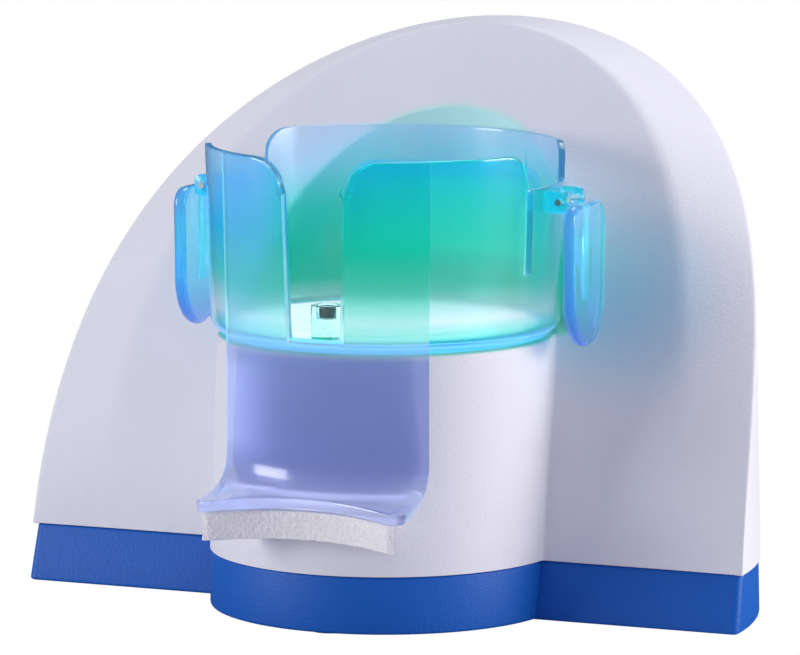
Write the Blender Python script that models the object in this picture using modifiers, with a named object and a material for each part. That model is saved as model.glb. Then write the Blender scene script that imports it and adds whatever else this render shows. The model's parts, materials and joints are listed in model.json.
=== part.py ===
"""Bench-top light unit for a dental surgery: a housing with a lit niche and a lift-off cup.

The cup stands on a column in front of a swept-back housing. A light window in the niche
shines through it, and a front shield with a foam-padded lip hangs over its front wall.
Lengths are metres, +Z is up, and the user faces the object along +Y.
"""

import math

import bmesh
import bpy
from mathutils import Matrix, Vector

MM = 0.001
GAP = 0.3 * MM  # clearance left between pieces that seat on each other
SMOOTH = 60  # segments of a large round
FINE = 16  # segments of a small round
ARC_STEPS = 40  # segments of the base's half round
NOSE_STEPS = 24  # segments of the base's round front

# Housing: a half disc in plan whose front sweeps back as it rises
DISC_RADIUS = 135.7 * MM
DISC_CENTRE_Y = -10.9 * MM  # from the column's axis
WALL_DRAFT = 0.025  # radius lost for each unit of height
PANEL_RADIUS = 110.0 * MM  # where the flat panel meets the bevelled band
SEAM_HEIGHT = 21.3 * MM
SHELL_WALL = 2.6 * MM
PANEL_SWEEP = (-7.14, 0.00393, 1.92)  # foot, factor and power of its Y over its height, in mm
BAND_SWEEP = (-8.57, 0.00758, 1.84)
OUTLINE_STEPS = 20
INSET_DROP = 0.55  # how far an inset outline drops, as a share of the inset

# Base tray
BASE_WALL = 2.4 * MM
BASE_FLOOR = 2.4 * MM
BASE_FRONT_FLOOR_Y = -10.9 * MM
BASE_FRONT_SEAM_Y = -5.0 * MM
SEAM_OVERHANG = 0.7 * MM  # how far the shell stands proud of the base
BASE_CORNER = 2.5 * MM
FOOT_HEIGHT = 1.0 * MM
FOOT_RADIUS = 7.0 * MM
FOOT_STEM_RADIUS = 2.4 * MM

# Column and niche
COLUMN_FOOT_RADIUS = 62.5 * MM
COLUMN_DRAFT = 0.038
NICHE_FLOOR = 97.2 * MM
NICHE_RADIUS = 68.0 * MM

# Light window in the niche's rear wall
WINDOW_WIDTH = 74.0 * MM
WINDOW_HEIGHT = 35.0 * MM
WINDOW_MIDDLE = 131.3 * MM
WINDOW_CORNER = 7.0 * MM
BEZEL_RIM = 3.5 * MM
BEZEL_LAP = 1.6 * MM
BEZEL_PROUD = 1.1 * MM
DIFFUSER_THICKNESS = 2.0 * MM

# Cup
CUP_FOOT_RADIUS = 61.2 * MM
CUP_RIM_RADIUS = 62.8 * MM
CUP_WALL = 2.4 * MM
CUP_FLOOR = 3.9 * MM
CUP_HEIGHT = 66.5 * MM
SIDE_TOP_DROP = 12.5 * MM  # how far the side segments stop below the rim
SIDE_REAR_ANGLE = 23.0
SIDE_SLOT_ANGLE = -14.5
SIDE_SLOT_WIDTH = 3.0 * MM
SIDE_SLOT_DEPTH = 41.5 * MM
REAR_CORNER = 10.0 * MM
WING_CORNER = 9.0 * MM
MOUTH_TOP = 23.6 * MM  # width of the front mouth at the rim
MOUTH_FOOT = 19.4 * MM
MOUTH_CORNER = 12.0 * MM

# Front shield, lip and pad
SHIELD_WALL = 2.2 * MM
SHIELD_HALF_ANGLE = 36.6
SHIELD_BEND_TOP = 57.0 * MM
LIP_HEIGHT = 47.0 * MM
LIP_CROWN = 2.0 * MM  # how much higher the lip is in its middle
LIP_HALF_WIDTH = 38.8 * MM
LIP_REACH = 79.0 * MM  # of its two ends, from the column's axis
LIP_HOLLOW = 8.0 * MM  # how much less it reaches in its middle
LIP_THICKNESS = 3.8 * MM  # at its front edge
LIP_ROUND = 6 / 7  # share of the half width where its rounded ends begin
PAD_THICKNESS = 10.0 * MM
PAD_INSET = 3.4 * MM
PAD_COLUMN_GAP = 2.0 * MM

# Ears: two sprung levers pinned to the cup
EAR_THICKNESS = 4.6 * MM
EAR_FACE_X = 71.0 * MM
EAR_FRONT_Y = -13.6 * MM
EAR_REAR_Y = 18.0 * MM
EAR_TOP = 146.0 * MM
EAR_FOOT = 96.0 * MM
EAR_GUSSET = 24.0 * MM
EAR_CLEARANCE = 0.9 * MM  # between an ear's plate and the lugs beside it
PIVOT_X = 67.4 * MM
PIVOT_HEIGHT = 146.6 * MM
PIN_RADIUS = 1.2 * MM
KNUCKLE_RADIUS = 2.8 * MM
KNUCKLE_LENGTH = 6.4 * MM
LUG_THICKNESS = 3.0 * MM
LUG_SPACE = 3.2 * MM  # room for a spring between a lug and the knuckle
LUG_HALF_HEIGHT = 3.8 * MM
SPRING_WIRE = 0.35 * MM
SPRING_TURNS = 2

# Locating post and its magnet
POST_RADIUS = 5.75 * MM
POST_HEIGHT = 11.5 * MM
POST_Y = -50.5 * MM
MAGNET_RADIUS = 3.0 * MM
MAGNET_HEIGHT = 4.0 * MM

# Light engine
BOARD = 1.6 * MM
LIGHT_BOARD_WIDTH = 84.0 * MM
LIGHT_BOARD_HEIGHT = 56.0 * MM
LIGHT_BOARD_BACK = 9.0 * MM  # its front, behind the niche's outer face
LED_RADIUS = 2.8 * MM
LED_HEIGHT = 2.2 * MM
LED_COLUMNS = 3
LED_ROWS = 2
LED_PITCH_X = 24.0 * MM
LED_PITCH_Z = 16.0 * MM
LIGHT_BOSS_X = 34.0 * MM
LIGHT_BOSS_Z = 24.5 * MM
SINK_DEPTH = 13.0 * MM
SINK_PLATE = 3.0 * MM
SINK_FINS = 9
SINK_FIN = 1.8 * MM

# Boards in the base and under the niche floor
MAIN_BOARD_WIDTH = 96.0 * MM
MAIN_BOARD_DEPTH = 52.0 * MM
MAIN_BOARD_Y = 70.0 * MM
MAIN_BOARD_HEIGHT = 9.0 * MM
MAIN_SCREW_INSET = 6.0 * MM
SENSOR_WIDTH = 26.0 * MM
SENSOR_DEPTH = 12.0 * MM
SENSOR_Y = -45.0 * MM
SENSOR_DROP = 4.0 * MM
SENSOR_SCREW_X = 9.5 * MM

# Fasteners
BOSS_RADIUS = 4.0 * MM
SMALL_BOSS_RADIUS = 2.8 * MM
CASE_SHANK = 1.5 * MM
CASE_HEAD = 3.0 * MM
CASE_SCREW_REACH = 16.0 * MM  # above the seam
SMALL_SHANK = 0.9 * MM
SMALL_HEAD = 2.1 * MM
SMALL_HEAD_HEIGHT = 1.4 * MM
SMALL_SCREW_LENGTH = 5.0 * MM
CASE_SCREW_ANGLES = (14.0, 58.0, 122.0, 166.0)
CASE_SCREW_INSET = 8.2 * MM
FOOT_PLACES = ((24.0, 118.0), (62.0, 120.0), (118.0, 120.0), (156.0, 118.0))  # degrees, mm

# Power inlet and switch in the rear of the base
INLET_X = 24.0 * MM
INLET_HEIGHT = 11.5 * MM
INLET_RADIUS = 4.6 * MM
INLET_BORE = 3.1 * MM
INLET_BORE_DEPTH = 9.0 * MM
INLET_BODY = 12.0 * MM
SWITCH_X = -24.0 * MM
SWITCH_WIDTH = 19.0 * MM
SWITCH_HEIGHT = 12.5 * MM
SWITCH_DEPTH = 13.0 * MM
SWITCH_RIM = 1.4 * MM
ROCKER_TILT = 8.0
ROCKER_WELL = 6.0 * MM

# Wiring
WIRE_RADIUS = 1.6 * MM

SHELL_BOTTOM = SEAM_HEIGHT + GAP / 2
BODY_REAR_Y = DISC_CENTRE_Y + DISC_RADIUS - WALL_DRAFT * SHELL_BOTTOM
AXIS_Y = -(BODY_REAR_Y - LIP_REACH) / 2  # puts the frame's origin under the middle of the whole
BASE_BOTTOM = FOOT_HEIGHT + GAP
BASE_INSIDE = BASE_BOTTOM + BASE_FLOOR
CUP_BOTTOM = NICHE_FLOOR + GAP
CUP_RIM = CUP_BOTTOM + CUP_HEIGHT
CUP_INSIDE = CUP_BOTTOM + CUP_FLOOR
PIVOT_Y = (EAR_FRONT_Y + EAR_REAR_Y) / 2
MOUTH_FLOOR = CUP_INSIDE


def clear_scene():
    for obj in list(bpy.data.objects):
        bpy.data.objects.remove(obj, do_unlink=True)


clear_scene()
CUTTERS = bpy.data.collections.new("cutters")
CUTTERS.hide_render = True
bpy.context.scene.collection.children.link(CUTTERS)


# ---------------------------------------------------------------- materials


def material(name, colour, roughness, metallic=0.0, transmission=0.0, glow=0.0):
    """A Principled material; colour is an sRGB hex string."""
    made = bpy.data.materials.new(name)
    made.use_nodes = True
    shader = made.node_tree.nodes["Principled BSDF"]
    channels = [int(colour[i : i + 2], 16) / 255 for i in (0, 2, 4)]
    linear = [((c + 0.055) / 1.055) ** 2.4 if c > 0.04 else c / 12.92 for c in channels]
    shader.inputs["Base Color"].default_value = (*linear, 1.0)
    shader.inputs["Roughness"].default_value = roughness
    shader.inputs["Metallic"].default_value = metallic
    shader.inputs["Transmission Weight"].default_value = transmission
    shader.inputs["Emission Color"].default_value = (*linear, 1.0)
    shader.inputs["Emission Strength"].default_value = glow
    made.diffuse_color = (*linear, 1.0)
    return made


SHELL_WHITE = material("housing_white_abs", "E2E1EE", 0.55)
BASE_BLUE = material("base_blue_abs", "1E58AC", 0.5)
CUP_TEAL = material("cup_translucent_teal", "22C3C8", 0.25, transmission=0.6)
SHIELD_VIOLET = material("shield_translucent_violet", "7C8CCB", 0.25, transmission=0.6)
EAR_CYAN = material("ear_translucent_cyan", "20B4DC", 0.25, transmission=0.6)
FOAM = material("foam_pad_white", "EDE8E8", 0.95)
CLEAR = material("clear_acrylic", "CFEFEA", 0.08, transmission=0.9)
MAGNET = material("magnet_nickel", "4A4D52", 0.3, metallic=1.0)
BEZEL_CYAN = material("bezel_cyan", "3FC9D6", 0.35)
DIFFUSER = material("window_diffuser_green", "1FB79A", 0.3, glow=0.6)
BOARD_GREEN = material("circuit_board", "1E6B42", 0.5)
LED_WHITE = material("led_dome", "D8F5E8", 0.2, glow=1.0)
ALUMINIUM = material("aluminium_sink", "A9ADB3", 0.35, metallic=1.0)
CHIP_BLACK = material("chip_epoxy", "1B1C1F", 0.45)
CAPACITOR = material("capacitor_sleeve", "23304F", 0.4)
CONNECTOR = material("connector_nylon", "E8E3D2", 0.5)
SOCKET_BLACK = material("socket_nylon", "17181B", 0.5)
STEEL = material("screw_zinc", "B9BCC2", 0.3, metallic=1.0)
STAINLESS = material("stainless_pin", "C4C8CE", 0.22, metallic=1.0)
RUBBER = material("foot_rubber", "2A2B2E", 0.85)
WIRE_SLEEVE = material("wire_sleeve", "2B2E33", 0.55)


# ------------------------------------------------------------------ helpers

ORIGIN = bpy.data.objects.new("column_axis", None)
ORIGIN.location = (0, AXIS_Y, 0)
bpy.context.scene.collection.objects.link(ORIGIN)
bpy.context.view_layer.update()


def add_object(name, mesh, finish=None, location=(0, 0, 0)):
    """A piece where finish is a material, and a hidden helper where it's None."""
    obj = bpy.data.objects.new(name, mesh)
    obj.parent = ORIGIN
    obj.location = location
    if finish is None:
        CUTTERS.objects.link(obj)
        obj.hide_render = True
        obj.display_type = "WIRE"
    else:
        bpy.context.scene.collection.objects.link(obj)
        mesh.materials.append(finish)
    return obj


def mesh_from(name, bm):
    bmesh.ops.recalc_face_normals(bm, faces=bm.faces)
    mesh = bpy.data.meshes.new(name)
    bm.to_mesh(mesh)
    bm.free()
    return mesh


def box(name, size, centre, finish=None):
    bm = bmesh.new()
    bmesh.ops.create_cube(bm, size=1.0)
    bmesh.ops.scale(bm, vec=size, verts=bm.verts)
    return add_object(name, mesh_from(name, bm), finish, centre)


AXIS_TURN = {
    "X": Matrix.Rotation(math.radians(90), 4, "Y"),
    "Y": Matrix.Rotation(math.radians(-90), 4, "X"),
    "Z": Matrix.Identity(4),
}


def rod(name, radius, start, end, axis="Z", at=(0, 0, 0), finish=None, segments=FINE, end_radius=None):
    """A cylinder or cone along an axis, from start to end on it, through the point `at`."""
    bm = bmesh.new()
    last = radius if end_radius is None else end_radius
    bmesh.ops.create_cone(
        bm, cap_ends=True, segments=segments, radius1=radius, radius2=last, depth=end - start
    )
    bmesh.ops.transform(bm, matrix=AXIS_TURN[axis], verts=bm.verts)
    centre = Vector(at)
    centre["XYZ".index(axis)] = (start + end) / 2
    return add_object(name, mesh_from(name, bm), finish, centre)


def arc(centre, radius, start, end, steps):
    """Points of an arc between two angles in degrees."""
    angles = [math.radians(start + (end - start) * i / steps) for i in range(steps + 1)]
    return [(centre[0] + radius * math.cos(a), centre[1] + radius * math.sin(a)) for a in angles]


def rounded_rectangle(width, height, radius, steps=5, centre=(0, 0)):
    points = []
    for turn, (sx, sy) in enumerate(((1, 1), (-1, 1), (-1, -1), (1, -1))):
        middle = (
            centre[0] + sx * (width / 2 - radius),
            centre[1] + sy * (height / 2 - radius),
        )
        points += arc(middle, radius, 90 * turn, 90 * turn + 90, steps)
    return points


PLANE_TURN = {
    "XY": Matrix.Identity(4),
    "XZ": Matrix(((1, 0, 0, 0), (0, 0, -1, 0), (0, 1, 0, 0), (0, 0, 0, 1))),
    "YZ": Matrix(((0, 0, 1, 0), (1, 0, 0, 0), (0, 1, 0, 0), (0, 0, 0, 1))),
}


def prism(name, points, start, end, plane="XY", finish=None, turn=0.0):
    """A flat outline in a plane, extruded from start to end across it, then turned about Z."""
    curve = bpy.data.curves.new(name + "_outline", "CURVE")
    curve.dimensions = "2D"
    curve.fill_mode = "BOTH"
    curve.extrude = (end - start) / 2
    spline = curve.splines.new("POLY")
    spline.points.add(len(points) - 1)
    for point, (x, y) in zip(spline.points, points):
        point.co = (x, y, 0, 1)
    spline.use_cyclic_u = True
    guide = bpy.data.objects.new(name + "_outline", curve)
    mesh = bpy.data.meshes.new_from_object(guide)
    bpy.data.objects.remove(guide)
    bm = bmesh.new()
    bm.from_mesh(mesh)
    bpy.data.meshes.remove(mesh)
    bmesh.ops.remove_doubles(bm, verts=bm.verts, dist=1e-7)
    bmesh.ops.translate(bm, vec=(0, 0, (start + end) / 2), verts=bm.verts)
    place = Matrix.Rotation(math.radians(turn), 4, "Z") @ PLANE_TURN[plane]
    if plane == "XZ":
        place = place @ Matrix.Scale(-1, 4, (0, 0, 1))
    bmesh.ops.transform(bm, matrix=place, verts=bm.verts)
    return add_object(name, mesh_from(name, bm), finish)


def turned(name, profile, finish=None, steps=SMOOTH):
    """A solid of revolution about Z; the profile runs from top to bottom on its outer side."""
    mesh = bpy.data.meshes.new(name)
    edges = [(i, i + 1) for i in range(len(profile) - 1)]
    mesh.from_pydata([(r, 0, z) for r, z in profile], edges, [])
    obj = add_object(name, mesh, finish)
    screw = obj.modifiers.new("turn", "SCREW")
    screw.axis = "Z"
    screw.steps = steps
    screw.render_steps = steps
    screw.use_merge_vertices = True
    screw.merge_threshold = 1e-6
    return obj


def change(obj, operation, other):
    step = obj.modifiers.new(f"{operation.lower()}_{other.name}", "BOOLEAN")
    step.operation = operation
    step.solver = "EXACT"
    step.object = other


def cut(obj, *cutters):
    for cutter in cutters:
        change(obj, "DIFFERENCE", cutter)


def join(obj, *others):
    for other in others:
        change(obj, "UNION", other)


def origin_at(obj, point):
    """Moves the object's origin to a point without moving its shape."""
    shift = Vector(point) - obj.location
    obj.data.transform(Matrix.Translation(-shift))
    obj.location = point


def tube(name, points, radius, finish, resolution=3):
    """A round wire through hand-picked points."""
    curve = bpy.data.curves.new(name, "CURVE")
    curve.dimensions = "3D"
    curve.bevel_depth = radius
    curve.bevel_resolution = 1
    curve.use_fill_caps = True
    curve.resolution_u = resolution
    spline = curve.splines.new("BEZIER")
    spline.bezier_points.add(len(points) - 1)
    for point, place in zip(spline.bezier_points, points):
        point.co = place
        point.handle_left_type = "AUTO"
        point.handle_right_type = "AUTO"
    guide = bpy.data.objects.new(name + "_route", curve)
    mesh = bpy.data.meshes.new_from_object(guide)
    bpy.data.objects.remove(guide)
    bm = bmesh.new()
    bm.from_mesh(mesh)
    bpy.data.meshes.remove(mesh)
    bmesh.ops.remove_doubles(bm, verts=bm.verts, dist=1e-7)
    return add_object(name, mesh_from(name, bm), finish)


def screw(name, at, length, shank, head, head_height, axis="Z", points_up=True):
    """A pan-head screw whose head's underside is at `at`."""
    index = "XYZ".index(axis)
    way = 1 if points_up else -1
    base = at[index]
    ends = sorted((base, base + way * length))
    caps = sorted((base - way * head_height, base + way * 0.2 * MM))
    made = rod(name, shank, ends[0], ends[1], axis, at, STEEL, 12)
    cap = rod(name + "_head", head, caps[0], caps[1], axis, at, None, 16)
    join(made, cap)
    return made


# ------------------------------------------------------- housing and base


def sweep_y(sweep, height):
    foot, factor, power = sweep
    return (foot + factor * (height / MM) ** power) * MM


def sweep_height(sweep, y):
    foot, factor, power = sweep
    return max((y / MM - foot) / factor, 0.0) ** (1 / power) * MM


def housing_loft(name, inset, bottom, finish=None):
    """The swept housing, shrunk inwards by an inset, as a closed loft of its two outlines."""
    rows = []
    drop = inset * INSET_DROP
    for radius, sweep in ((DISC_RADIUS, BAND_SWEEP), (PANEL_RADIUS, PANEL_SWEEP)):
        edge = radius - inset - WALL_DRAFT * bottom
        start = math.asin((sweep_y(sweep, bottom + drop) + inset - DISC_CENTRE_Y) / edge)
        row = []
        for step in range(2 * OUTLINE_STEPS + 1):
            side = 1 if step <= OUTLINE_STEPS else -1
            share = step if step <= OUTLINE_STEPS else 2 * OUTLINE_STEPS - step
            angle = start + (math.pi / 2 - start) * share / OUTLINE_STEPS
            height = bottom
            for _ in range(4):
                reach = radius - inset - WALL_DRAFT * height
                y = DISC_CENTRE_Y + reach * math.sin(angle)
                height = sweep_height(sweep, y - inset) - drop
            height = max(height, bottom)
            row.append(Vector((side * reach * math.cos(angle), y, height)))
        rows.append(row)
    skirt = []
    for point in rows[0]:
        flat = Vector((point.x, point.y - DISC_CENTRE_Y, 0))
        flat *= (DISC_RADIUS - inset - WALL_DRAFT * bottom) / flat.length
        skirt.append(Vector((flat.x, flat.y + DISC_CENTRE_Y, bottom)))
    bm = bmesh.new()
    grid = [[bm.verts.new(point) for point in row] for row in (skirt, *rows)]
    count = len(skirt)
    for low, high in zip(grid, grid[1:]):
        for i in range(count - 1):
            bm.faces.new((low[i], low[i + 1], high[i + 1], high[i]))
    for i in range(OUTLINE_STEPS):
        left = count - 1 - i
        corners = dict.fromkeys((i, i + 1, left - 1, left))
        bm.faces.new([grid[2][corner] for corner in corners])
    bm.faces.new([*reversed(grid[0]), grid[1][0], grid[2][0], grid[2][-1], grid[1][-1]])
    bmesh.ops.remove_doubles(bm, verts=bm.verts, dist=1e-7)
    bmesh.ops.dissolve_degenerate(bm, dist=1e-7, edges=bm.edges)
    bmesh.ops.triangulate(bm, faces=bm.faces)
    return add_object(name, mesh_from(name, bm), finish)


def column_radius(height):
    return COLUMN_FOOT_RADIUS - COLUMN_DRAFT * height


def column(name, inset, bottom, top):
    return rod(
        name,
        column_radius(bottom) - inset,
        bottom,
        top,
        segments=SMOOTH,
        end_radius=column_radius(top) - inset,
    )


def base_outline(height, inset):
    """The base's plan at a height: the column's front arc, the leaning front and the half disc."""
    share = (height - BASE_BOTTOM) / (SEAM_HEIGHT - BASE_BOTTOM)
    front = BASE_FRONT_FLOOR_Y + (BASE_FRONT_SEAM_Y - BASE_FRONT_FLOOR_Y) * share + inset
    nose = column_radius(height) - SEAM_OVERHANG - inset
    nose_angle = math.degrees(math.asin(front / nose))
    radius = DISC_RADIUS - SEAM_OVERHANG - WALL_DRAFT * height - inset
    corner = max(BASE_CORNER - inset, 0.4 * MM)
    middle_y = front + corner
    middle_x = math.sqrt((radius - corner) ** 2 - (middle_y - DISC_CENTRE_Y) ** 2)
    side_angle = math.degrees(math.atan2(middle_y - DISC_CENTRE_Y, middle_x))
    outline = arc((0, 0), nose, -180 - nose_angle, nose_angle, NOSE_STEPS)
    outline += arc((middle_x, middle_y), corner, -90, side_angle, 4)
    outline += arc((0, DISC_CENTRE_Y), radius, side_angle, 180 - side_angle, ARC_STEPS)[1:-1]
    outline += arc((-middle_x, middle_y), corner, 180 - side_angle, 270, 4)
    return outline


def base_solid(name, inset, bottom, top, finish=None):
    """The base's plan at two heights, joined."""
    bm = bmesh.new()
    rings = []
    for height in (bottom, top):
        rings.append([bm.verts.new((x, y, height)) for x, y in base_outline(height, inset)])
    low, high = rings
    for i, start in enumerate(low):
        after = (i + 1) % len(low)
        bm.faces.new((start, low[after], high[after], high[i]))
    bm.faces.new(list(reversed(low)))
    bm.faces.new(high)
    return add_object(name, mesh_from(name, bm), finish)


def polar(angle, radius, height=0.0):
    """A point about the half disc's centre."""
    turn = math.radians(angle)
    return Vector((radius * math.cos(turn), DISC_CENTRE_Y + radius * math.sin(turn), height))


def case_screw_places():
    return [polar(angle, DISC_RADIUS - SHELL_WALL - CASE_SCREW_INSET) for angle in CASE_SCREW_ANGLES]


def window_outline(grow):
    return rounded_rectangle(
        WINDOW_WIDTH + 2 * grow,
        WINDOW_HEIGHT + 2 * grow,
        WINDOW_CORNER + grow,
        centre=(0, WINDOW_MIDDLE),
    )


def light_boss_places():
    return [(sx * LIGHT_BOSS_X, WINDOW_MIDDLE + sz * LIGHT_BOSS_Z) for sx in (-1, 1) for sz in (-1, 1)]


LIGHT_BOARD_FRONT = NICHE_RADIUS + SHELL_WALL + LIGHT_BOARD_BACK
SENSOR_TOP = NICHE_FLOOR - SHELL_WALL - SENSOR_DROP - GAP


def build_housing():
    beyond = 3 * DISC_RADIUS
    below = SHELL_BOTTOM - 4 * MM
    shell = housing_loft("housing_shell", 0.0, below, SHELL_WHITE)
    join(shell, column("column_outside", 0.0, below - 1 * MM, NICHE_FLOOR + 2 * MM))
    trim = box("shell_trim", (beyond, beyond, 20 * MM), (0, 0, SHELL_BOTTOM - 10 * MM))
    niche = rod("niche_cut", NICHE_RADIUS, NICHE_FLOOR, beyond, segments=SMOOTH)
    back_radius = NICHE_RADIUS + SHELL_WALL
    back_floor = NICHE_FLOOR - SHELL_WALL
    niche_back = rod("niche_back", back_radius, back_floor, beyond + 1 * MM, segments=SMOOTH)
    inside = housing_loft("housing_inside", SHELL_WALL, below - 2 * MM)
    join(inside, column("column_inside", SHELL_WALL, below - 3 * MM, NICHE_FLOOR))
    cut(inside, niche_back)
    cut(shell, trim)
    cut(shell, niche, inside)
    cut(shell, prism("window_cut", window_outline(0.0), 20 * MM, NICHE_RADIUS + 12 * MM, "XZ"))
    for index, place in enumerate(case_screw_places()):
        boss_top = SEAM_HEIGHT + CASE_SCREW_REACH + 3 * MM
        boss = rod(f"case_boss_{index}", BOSS_RADIUS, SHELL_BOTTOM, boss_top, at=place)
        outward = polar(CASE_SCREW_ANGLES[index], DISC_RADIUS - SHELL_WALL - CASE_SCREW_INSET / 2)
        rib = box(
            f"case_rib_{index}",
            (CASE_SCREW_INSET + 1.5 * MM, 2.4 * MM, boss_top - SHELL_BOTTOM),
            (outward.x, outward.y, (boss_top + SHELL_BOTTOM) / 2),
        )
        rib.rotation_euler.z = math.radians(CASE_SCREW_ANGLES[index])
        bore = rod(
            f"case_bore_{index}",
            CASE_SHANK + GAP,
            0,
            SEAM_HEIGHT + CASE_SCREW_REACH + GAP,
            at=place,
            segments=12,
        )
        join(shell, rib, boss)
        cut(shell, bore)
    for index, (x, z) in enumerate(light_boss_places()):
        start = math.sqrt(NICHE_RADIUS**2 - x**2) + 1.2 * MM
        at = (x, 0, z)
        end = LIGHT_BOARD_FRONT - GAP
        join(shell, rod(f"light_boss_{index}", SMALL_BOSS_RADIUS, start, end, "Y", at))
        bore_start = LIGHT_BOARD_FRONT - SMALL_SCREW_LENGTH
        bore_end = LIGHT_BOARD_FRONT + 1 * MM
        bore = rod(f"light_bore_{index}", SMALL_SHANK + GAP, bore_start, bore_end, "Y", at, segments=12)
        cut(shell, bore)
    for side in (-1, 1):
        at = (side * SENSOR_SCREW_X, SENSOR_Y, 0)
        floor = NICHE_FLOOR - SHELL_WALL
        boss = rod(f"sensor_boss_{side}", SMALL_BOSS_RADIUS, SENSOR_TOP + GAP, floor + 0.8 * MM, at=at)
        bore = rod(f"sensor_bore_{side}", SMALL_SHANK + GAP, 0, floor - 0.4 * MM, at=at, segments=12)
        join(shell, boss)
        cut(shell, bore)
    return shell


def rear_wall_y(x, inset=0.0):
    radius = DISC_RADIUS - SEAM_OVERHANG - WALL_DRAFT * SEAM_HEIGHT - inset
    return DISC_CENTRE_Y + math.sqrt(radius**2 - x**2)


def main_screw_places():
    half_x = MAIN_BOARD_WIDTH / 2 - MAIN_SCREW_INSET
    half_y = MAIN_BOARD_DEPTH / 2 - MAIN_SCREW_INSET
    return [(sx * half_x, MAIN_BOARD_Y + sy * half_y) for sx in (-1, 1) for sy in (-1, 1)]


def foot_places():
    places = [polar(angle, reach * MM) for angle, reach in FOOT_PLACES]
    return places + [Vector((0, -COLUMN_FOOT_RADIUS + 14 * MM, 0))]


def build_base():
    top = SEAM_HEIGHT - GAP / 2
    tray = base_solid("base_tray", 0.0, BASE_BOTTOM, top, BASE_BLUE)
    cut(tray, base_solid("base_well", BASE_WALL, BASE_INSIDE, top + 1.0 * MM))
    for index, place in enumerate(case_screw_places()):
        tower = rod(f"base_tower_{index}", BOSS_RADIUS, BASE_INSIDE - 1 * MM, top, at=place)
        join(tray, tower)
        head_top = BASE_BOTTOM + SMALL_HEAD_HEIGHT + 2 * GAP
        cut(
            tray,
            rod(f"base_bore_{index}", CASE_SHANK + GAP, 0, SEAM_HEIGHT + 1 * MM, at=place, segments=12),
            rod(f"base_sink_{index}", CASE_HEAD + GAP, 0, head_top, at=place, segments=16),
        )
    for index, (x, y) in enumerate(main_screw_places()):
        at = (x, y, 0)
        boss_top = MAIN_BOARD_HEIGHT - GAP
        join(tray, rod(f"board_boss_{index}", SMALL_BOSS_RADIUS, BASE_INSIDE - 1 * MM, boss_top, at=at))
        bore_top = boss_top + 1 * MM
        bore = rod(f"board_bore_{index}", SMALL_SHANK + GAP, BASE_INSIDE, bore_top, at=at, segments=12)
        cut(tray, bore)
    for index, place in enumerate(foot_places()):
        cut(tray, rod(f"foot_bore_{index}", FOOT_STEM_RADIUS + GAP, 0, BASE_INSIDE + 1 * MM, at=place))
    inlet_at = (INLET_X, 0, INLET_HEIGHT)
    rear = rear_wall_y(INLET_X)
    cut(tray, rod("inlet_hole", INLET_RADIUS + GAP, rear - 15 * MM, rear + 5 * MM, "Y", inlet_at))
    hole = box(
        "switch_hole",
        (SWITCH_WIDTH + 2 * GAP, 30 * MM, SWITCH_HEIGHT + 2 * GAP),
        (SWITCH_X, rear_wall_y(SWITCH_X), INLET_HEIGHT),
    )
    cut(tray, hole)
    for index, place in enumerate(foot_places()):
        at = (place.x, place.y, 0)
        foot = rod(f"foot_{index + 1}", FOOT_RADIUS, 0, FOOT_HEIGHT, at=at, finish=RUBBER, segments=28)
        stem_name = f"foot_stem_{index}"
        stem = rod(stem_name, FOOT_STEM_RADIUS, FOOT_HEIGHT / 2, BASE_INSIDE, at=at, segments=14)
        join(foot, stem)
    for index, place in enumerate(case_screw_places()):
        head_under = BASE_BOTTOM + SMALL_HEAD_HEIGHT + GAP
        length = SEAM_HEIGHT + CASE_SCREW_REACH - head_under
        at = (place.x, place.y, head_under)
        screw(f"case_screw_{index + 1}", at, length, CASE_SHANK, CASE_HEAD, SMALL_HEAD_HEIGHT)


# --------------------------------------------------------- window and light


def niche_slab(name, inner, outer, grow, finish=None):
    """The part of a ring behind the niche that a window outline keeps."""
    slab = prism(name, window_outline(grow), 20 * MM, NICHE_RADIUS + 12 * MM, "XZ", finish)
    ring = rod(name + "_ring", outer, 0.5 * NICHE_FLOOR, 2 * NICHE_FLOOR, segments=SMOOTH)
    core = rod(name + "_core", inner, 0.4 * NICHE_FLOOR, 2.1 * NICHE_FLOOR, segments=SMOOTH)
    change(slab, "INTERSECT", ring)
    cut(slab, core)
    return slab


def build_window():
    face = NICHE_RADIUS - GAP
    bezel = niche_slab("window_bezel", face - BEZEL_PROUD, face, BEZEL_LAP, BEZEL_CYAN)
    plug = niche_slab("bezel_plug", face - 0.4 * MM, NICHE_RADIUS + SHELL_WALL + 1.4 * MM, -GAP)
    join(bezel, plug)
    opening = prism("bezel_opening", window_outline(-BEZEL_RIM), 0, NICHE_RADIUS + 20 * MM, "XZ")
    cut(bezel, opening)
    inner = NICHE_RADIUS + 0.4 * MM
    niche_slab(
        "window_diffuser", inner, inner + DIFFUSER_THICKNESS, -BEZEL_RIM - GAP, DIFFUSER
    )


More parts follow.
